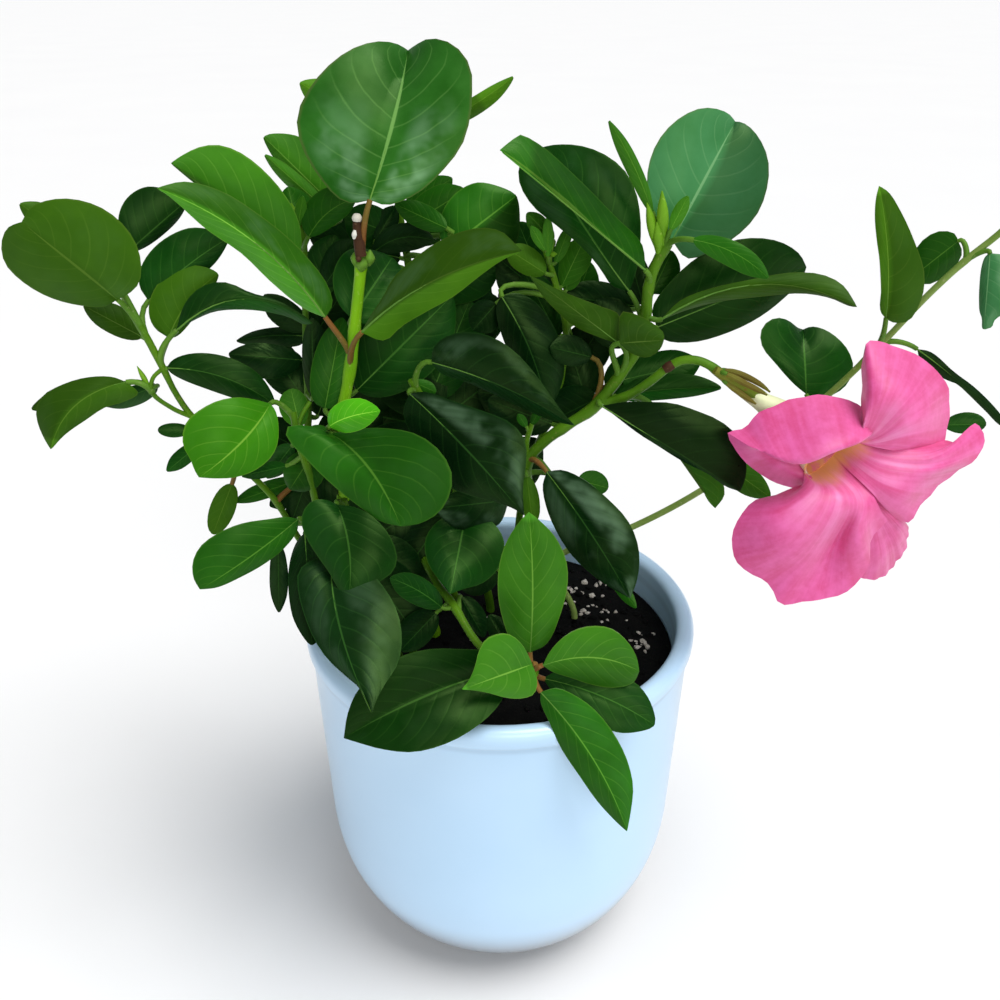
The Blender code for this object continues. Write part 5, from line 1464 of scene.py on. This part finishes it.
def scar_line(first, last, depth, radii):
    """Bar between two picture points at one depth, its radii drawn smoothly along it."""
    count = 4 * (len(radii) - 1)
    start, end = at(first, depth), at(last, depth)
    knots = [Vector((radius, index, 0.0)) for index, radius in enumerate(radii)]
    shares = [step / count for step in range(count + 1)]
    return [start.lerp(end, t) for t in shares], [through(knots, t).x for t in shares]


def make_blade(key, leaf, blanks, materials, draw):
    """One leaf blade, with the numbers its surface reads at each point."""
    length = blade_length(leaf)
    size = "small" if length < SMALL_LENGTH else "large"
    piece = copy_of(blanks[size], key[0])
    wave = (draw.uniform(*WAVE_HEIGHTS) * min(1.0, length / 45), draw.uniform(*WAVE_COUNTS),
            draw.random())
    made = blade_places(leaf, OUTLINES.get(key), *BLADE_GRIDS[size], wave)
    shaped(piece, [place for place, t, half in made])
    level = draw.uniform(*TONE_SPREAD)
    # Painted light and shade: each half's lightness goes into the leaf's tone value
    shades = PAINTED_HALF_SHADES.get(key, PLAIN_HALF_SHADE)
    pale_from = PALE_TIPS.get(key, 1.1)
    write_values(piece, "leaf_tone_and_painted_shade", [
        level * shades[half] * (PALE_TIP_GAIN if t > pale_from else 1.0) * (1.0 - 0.1 * t)
        for place, t, half in made])
    # Painted highlight: strength of the painted gleam on each half, fading toward the tip
    *shine, end = PAINTED_GLEAMS.get(key, PLAIN_PAINTED_GLEAM)
    write_values(piece, "leaf_painted_gleam", [
        shine[half] * min(1.0, max(0.0, (end - t) / PAINTED_GLEAM_FADE)) for place, t, half in made])
    pairs = 6.0 + min(length, 70.0) / 11 + draw.uniform(-0.5, 0.5)
    write_values(piece, "vein_count", [pairs] * len(made))
    for material in materials:
        piece.data.materials.append(material)
    return piece


def make_shoot(name, shoot, leaf_slots, surfaces, blanks, draw):
    """Leafy shoot: one piece of blades, and one of stems, stalks, midribs and buds."""
    lines = stem_lines(shoot)
    joints, bars, blades = [], [], []
    for index, leaf in enumerate(shoot["leaves"] + INNER_SHADE_LEAVES.get(name, [])):
        start, direction = nearest(lines, leaf.stalk)
        joints.append(start)
        skin = "red stalk" if (name, index) in RED_STALKS else "green stalk"
        bars.append((*stalk_line(leaf, start, direction), skin))
        bars.append((*midrib_line(leaf), "midrib"))
        blades.append(make_blade((name, index), leaf, blanks, leaf_slots[leaf.tone], draw))
    for bud in shoot.get("buds", ()):
        bars.append((*bud_line(bud, nearest(lines, bud.stalk)[0]), "bud"))
    for first, last, depth, radii, skin in SCARS.get(name, ()):
        bars.append((*scar_line(first, last, depth, radii), skin))
    stems = [(*swollen(line, joints), STEM_SKINS.get(name, "stem")) for line in lines]
    foliage = joined(name + "_leaves", blades)
    merged(foliage)
    thickened(foliage, BLADE_THICKNESS, 65)
    finished(foliage, "leaf_green", name)
    wood = ropes(name + "_stems", stems + bars, surfaces)
    smooth(wood, 60)
    finished(wood, "leaf_green", name)


def leaf_materials(group):
    """Front and back material of each tone."""
    pairs = {}
    for tone, look in LEAF_TONES.items():
        relief = OLIVE_RELIEF if tone == "olive" else FRONT_RELIEF
        behind = LEAF_TONES["deep"] if tone == "olive" else LEAF_BACK
        pairs[tone] = (leaf_material(tone + " leaf", group, *look, relief),
                       leaf_material(tone + " leaf back", group, *behind, BACK_RELIEF))
    return pairs


def tube_axis(centres, share):
    """Direction of the tube and its sideways direction, at a share of its length."""
    low, high = max(share - CURVE_STEP, 0.0), min(share + CURVE_STEP, 1.0)
    axis = (through(centres, high) - through(centres, low)).normalized()
    return axis, (Vector((1.0, 0.0, 0.0)) - axis * axis.x).normalized()


def mouth_point(centres, angle):
    """Point on the ring where the petals leave the tube, and the tube's direction there."""
    axis, side = tube_axis(centres, TUBE_MOUTH)
    up = side.cross(axis).normalized()
    if up.z < 0:
        up = -up
    spread = side * math.cos(angle) + up * math.sin(angle)
    return through(centres, TUBE_MOUTH) + spread * (TUBE_RADII[-2] + PETAL_ROOT_STEP), axis


def petal_places(petal, centres, columns, rows, phase):
    """Points of a petal from the throat out to its edge, drawn side by side."""
    rim, ridge, lips = ([at(spot, spot[2]) for spot in petal.get(line, ())]
                        for line in ("edge", "ridge", "lip"))
    first, last = petal["arc"]
    columns_of_points = []
    for column in range(columns + 1):
        share = column / columns
        angle = math.radians(first + (last - first) * share)
        root, axis = mouth_point(centres, angle)
        lip = through(lips, share)
        edge = through(rim, share)
        bend = through(ridge, share) if ridge else lip.lerp(edge, 0.5) + axis * PETAL_SWELL
        line = [root, lip, bend, edge]
        fold = math.sin(math.tau * (PETAL_FOLDS * share + phase)) * petal["wave"]
        frill = math.sin(math.tau * (PETAL_FRILLS * share + phase * 3)) * PETAL_FRILL_HEIGHT
        places = []
        for row in range(rows + 1):
            t = row / rows
            places.append(through(line, t) + axis * (fold * t ** 1.5 + frill * t ** 5))
        columns_of_points.append(places)
    return [places[row] for row in range(rows + 1) for places in columns_of_points]


def make_bloom(blank):
    """Bloom: five thin petals, and the flared tube with its throat."""
    group = petal_group()
    front = petal_material("petal front", group, rgb(214, 62, 130), rgb(233, 96, 170),
                           rgb(250, 196, 116), 0.5)
    back = petal_material("petal back", group, rgb(222, 96, 158), rgb(240, 146, 200),
                          rgb(236, 210, 180), 0.55)
    centres = [at(spot, spot[2]) for spot in TUBE_ROUTE]
    petals = []
    for index, petal in enumerate(PETALS):
        piece = copy_of(blank, "petal")
        shaped(piece, petal_places(petal, centres, *PETAL_GRID, PETAL_PHASE_STEP * index))
        petals.append(piece)
    body = joined("bloom_petals", petals)
    body.data.materials.append(front)
    body.data.materials.append(back)
    thickened(body, PETAL_THICKNESS, 70)
    finished(body, "petal_pink", "bloom")
    make_tube(centres)


def tube_materials(centres):
    """Outside of the tube, from green-brown to cream and pink, and its warm throat."""
    start, mouth = centres[0].x * MM, centres[-1].x * MM
    skin, tree, shader = new_material("tube skin", 0.5)
    across = object_axes(tree)["X"]
    along = mapped(tree, across, start, start + 8 * MM)
    colour = blend_colour(tree, mapped(tree, speckle(tree, 180.0), 0.4, 0.6), rgb(150, 90, 60),
                          rgb(128, 140, 60))
    colour = blend_colour(tree, along, colour, rgb(232, 238, 190))
    throat = mapped(tree, across, mouth - 14 * MM, mouth - 4 * MM)
    colour = blend_colour(tree, throat, colour, rgb(236, 120, 150))
    link(tree, colour, shader.inputs["Base Color"])
    bump(tree, speckle(tree, 300.0), 0.3, 0.4, shader)
    inside, tree, shader = new_material("throat", 0.55)
    deep = mapped(tree, object_axes(tree)["X"], mouth - 4 * MM, mouth - 16 * MM)
    colour = blend_colour(tree, mapped(tree, speckle(tree, 260.0), 0.4, 0.6), rgb(232, 120, 150),
                          rgb(236, 168, 110))
    colour = blend_colour(tree, deep, colour, rgb(232, 190, 70))
    link(tree, colour, shader.inputs["Base Color"])
    bump(tree, speckle(tree, 500.0), 0.4, 0.4, shader)
    return skin, inside


def make_tube(centres):
    """Flared tube: turned upright, outside and back inside, then laid along its centre line."""
    outer, inner = [], []
    for step in range(TUBE_STEPS + 1):
        share = TUBE_MOUTH * step / TUBE_STEPS
        spot = share * (len(TUBE_RADII) - 1)
        low = min(int(spot), len(TUBE_RADII) - 2)
        radius = TUBE_RADII[low] + (TUBE_RADII[low + 1] - TUBE_RADII[low]) * (spot - low)
        outer.append((radius, share))
        if share > TUBE_LINING_START:
            inner.append((radius - TUBE_WALL, share))
    piece = turned("bloom_tube", outer + inner[::-1], TUBE_SIDES)
    for vertex in piece.data.vertices:
        share = min(max(vertex.co.z / MM, 0.0), 1.0)
        along, side = tube_axis(centres, share)
        x, y = vertex.co.x / MM, vertex.co.y / MM
        vertex.co = (through(centres, share) + side * x - side.cross(along) * y) * MM
    for material in tube_materials(centres):
        piece.data.materials.append(material)
    for face in piece.data.polygons:
        if face.index >= TUBE_SIDES * (TUBE_STEPS + 1):
            face.material_index = 1
    smooth(piece, 60)
    finished(piece, "petal_pink", "bloom")


def make_floor():
    """Pale floor."""
    clear_selection()
    bpy.ops.mesh.primitive_plane_add(size=FLOOR_METRES, location=(0, 0, 0))
    floor = bpy.context.active_object
    floor.name = "floor"
    material, tree, shader = new_material("pale floor", 0.7)
    colour = blend_colour(tree, speckle(tree, 3.0), rgb(246, 246, 246), rgb(242, 242, 243))
    link(tree, colour, shader.inputs["Base Color"])
    floor.data.materials.append(material)


def make_light():
    """Soft high light from the right and the front, in an even room."""
    world = bpy.data.worlds.new("room")
    world.use_nodes = True
    room = world.node_tree.nodes["Background"]
    room.inputs["Color"].default_value = ROOM_COLOUR
    room.inputs["Strength"].default_value = ROOM_STRENGTH
    bpy.context.scene.world = world
    for name, (aim, power, spread) in WINDOWS.items():
        data = bpy.data.lights.new(name, "SUN")
        data.energy = power
        data.angle = math.radians(spread)
        data.color = WINDOW_COLOUR
        window = bpy.data.objects.new(name, data)
        window.rotation_euler = Vector(aim).to_track_quat("Z", "Y").to_euler()
        bpy.context.scene.collection.objects.link(window)
    bpy.context.scene.view_settings.view_transform = "Standard"


def make_camera():
    """Camera where the photograph was taken from."""
    data = bpy.data.cameras.new("camera")
    data.sensor_width = SENSOR_WIDTH
    data.lens = SENSOR_WIDTH * PICTURE_FOCAL / (2 * PICTURE_CENTRE)
    camera = bpy.data.objects.new("camera", data)
    camera.location = EYE * MM
    camera.rotation_euler = (math.pi / 2 - EYE_PITCH, 0, 0)
    bpy.context.scene.collection.objects.link(camera)
    bpy.context.scene.camera = camera


def main():
    """Make every piece."""
    draw = random.Random(SEED)
    make_camera()
    make_light()
    make_floor()
    make_pot()
    make_soil(draw)
    leaf_slots = leaf_materials(vein_group())
    surfaces = {name: stem_material(name, *look) for name, look in STEM_SURFACES.items()}
    blanks = {size: sheet(size + " blank", *grid) for size, grid in BLADE_GRIDS.items()}
    for name, shoot in SHOOTS.items():
        make_shoot(name, shoot, leaf_slots, surfaces, blanks, draw)
    petal_blank = sheet("petal blank", *PETAL_GRID)
    make_bloom(petal_blank)
    for blank in (petal_blank, *blanks.values()):
        bpy.data.objects.remove(blank)
    clear_selection()


main()
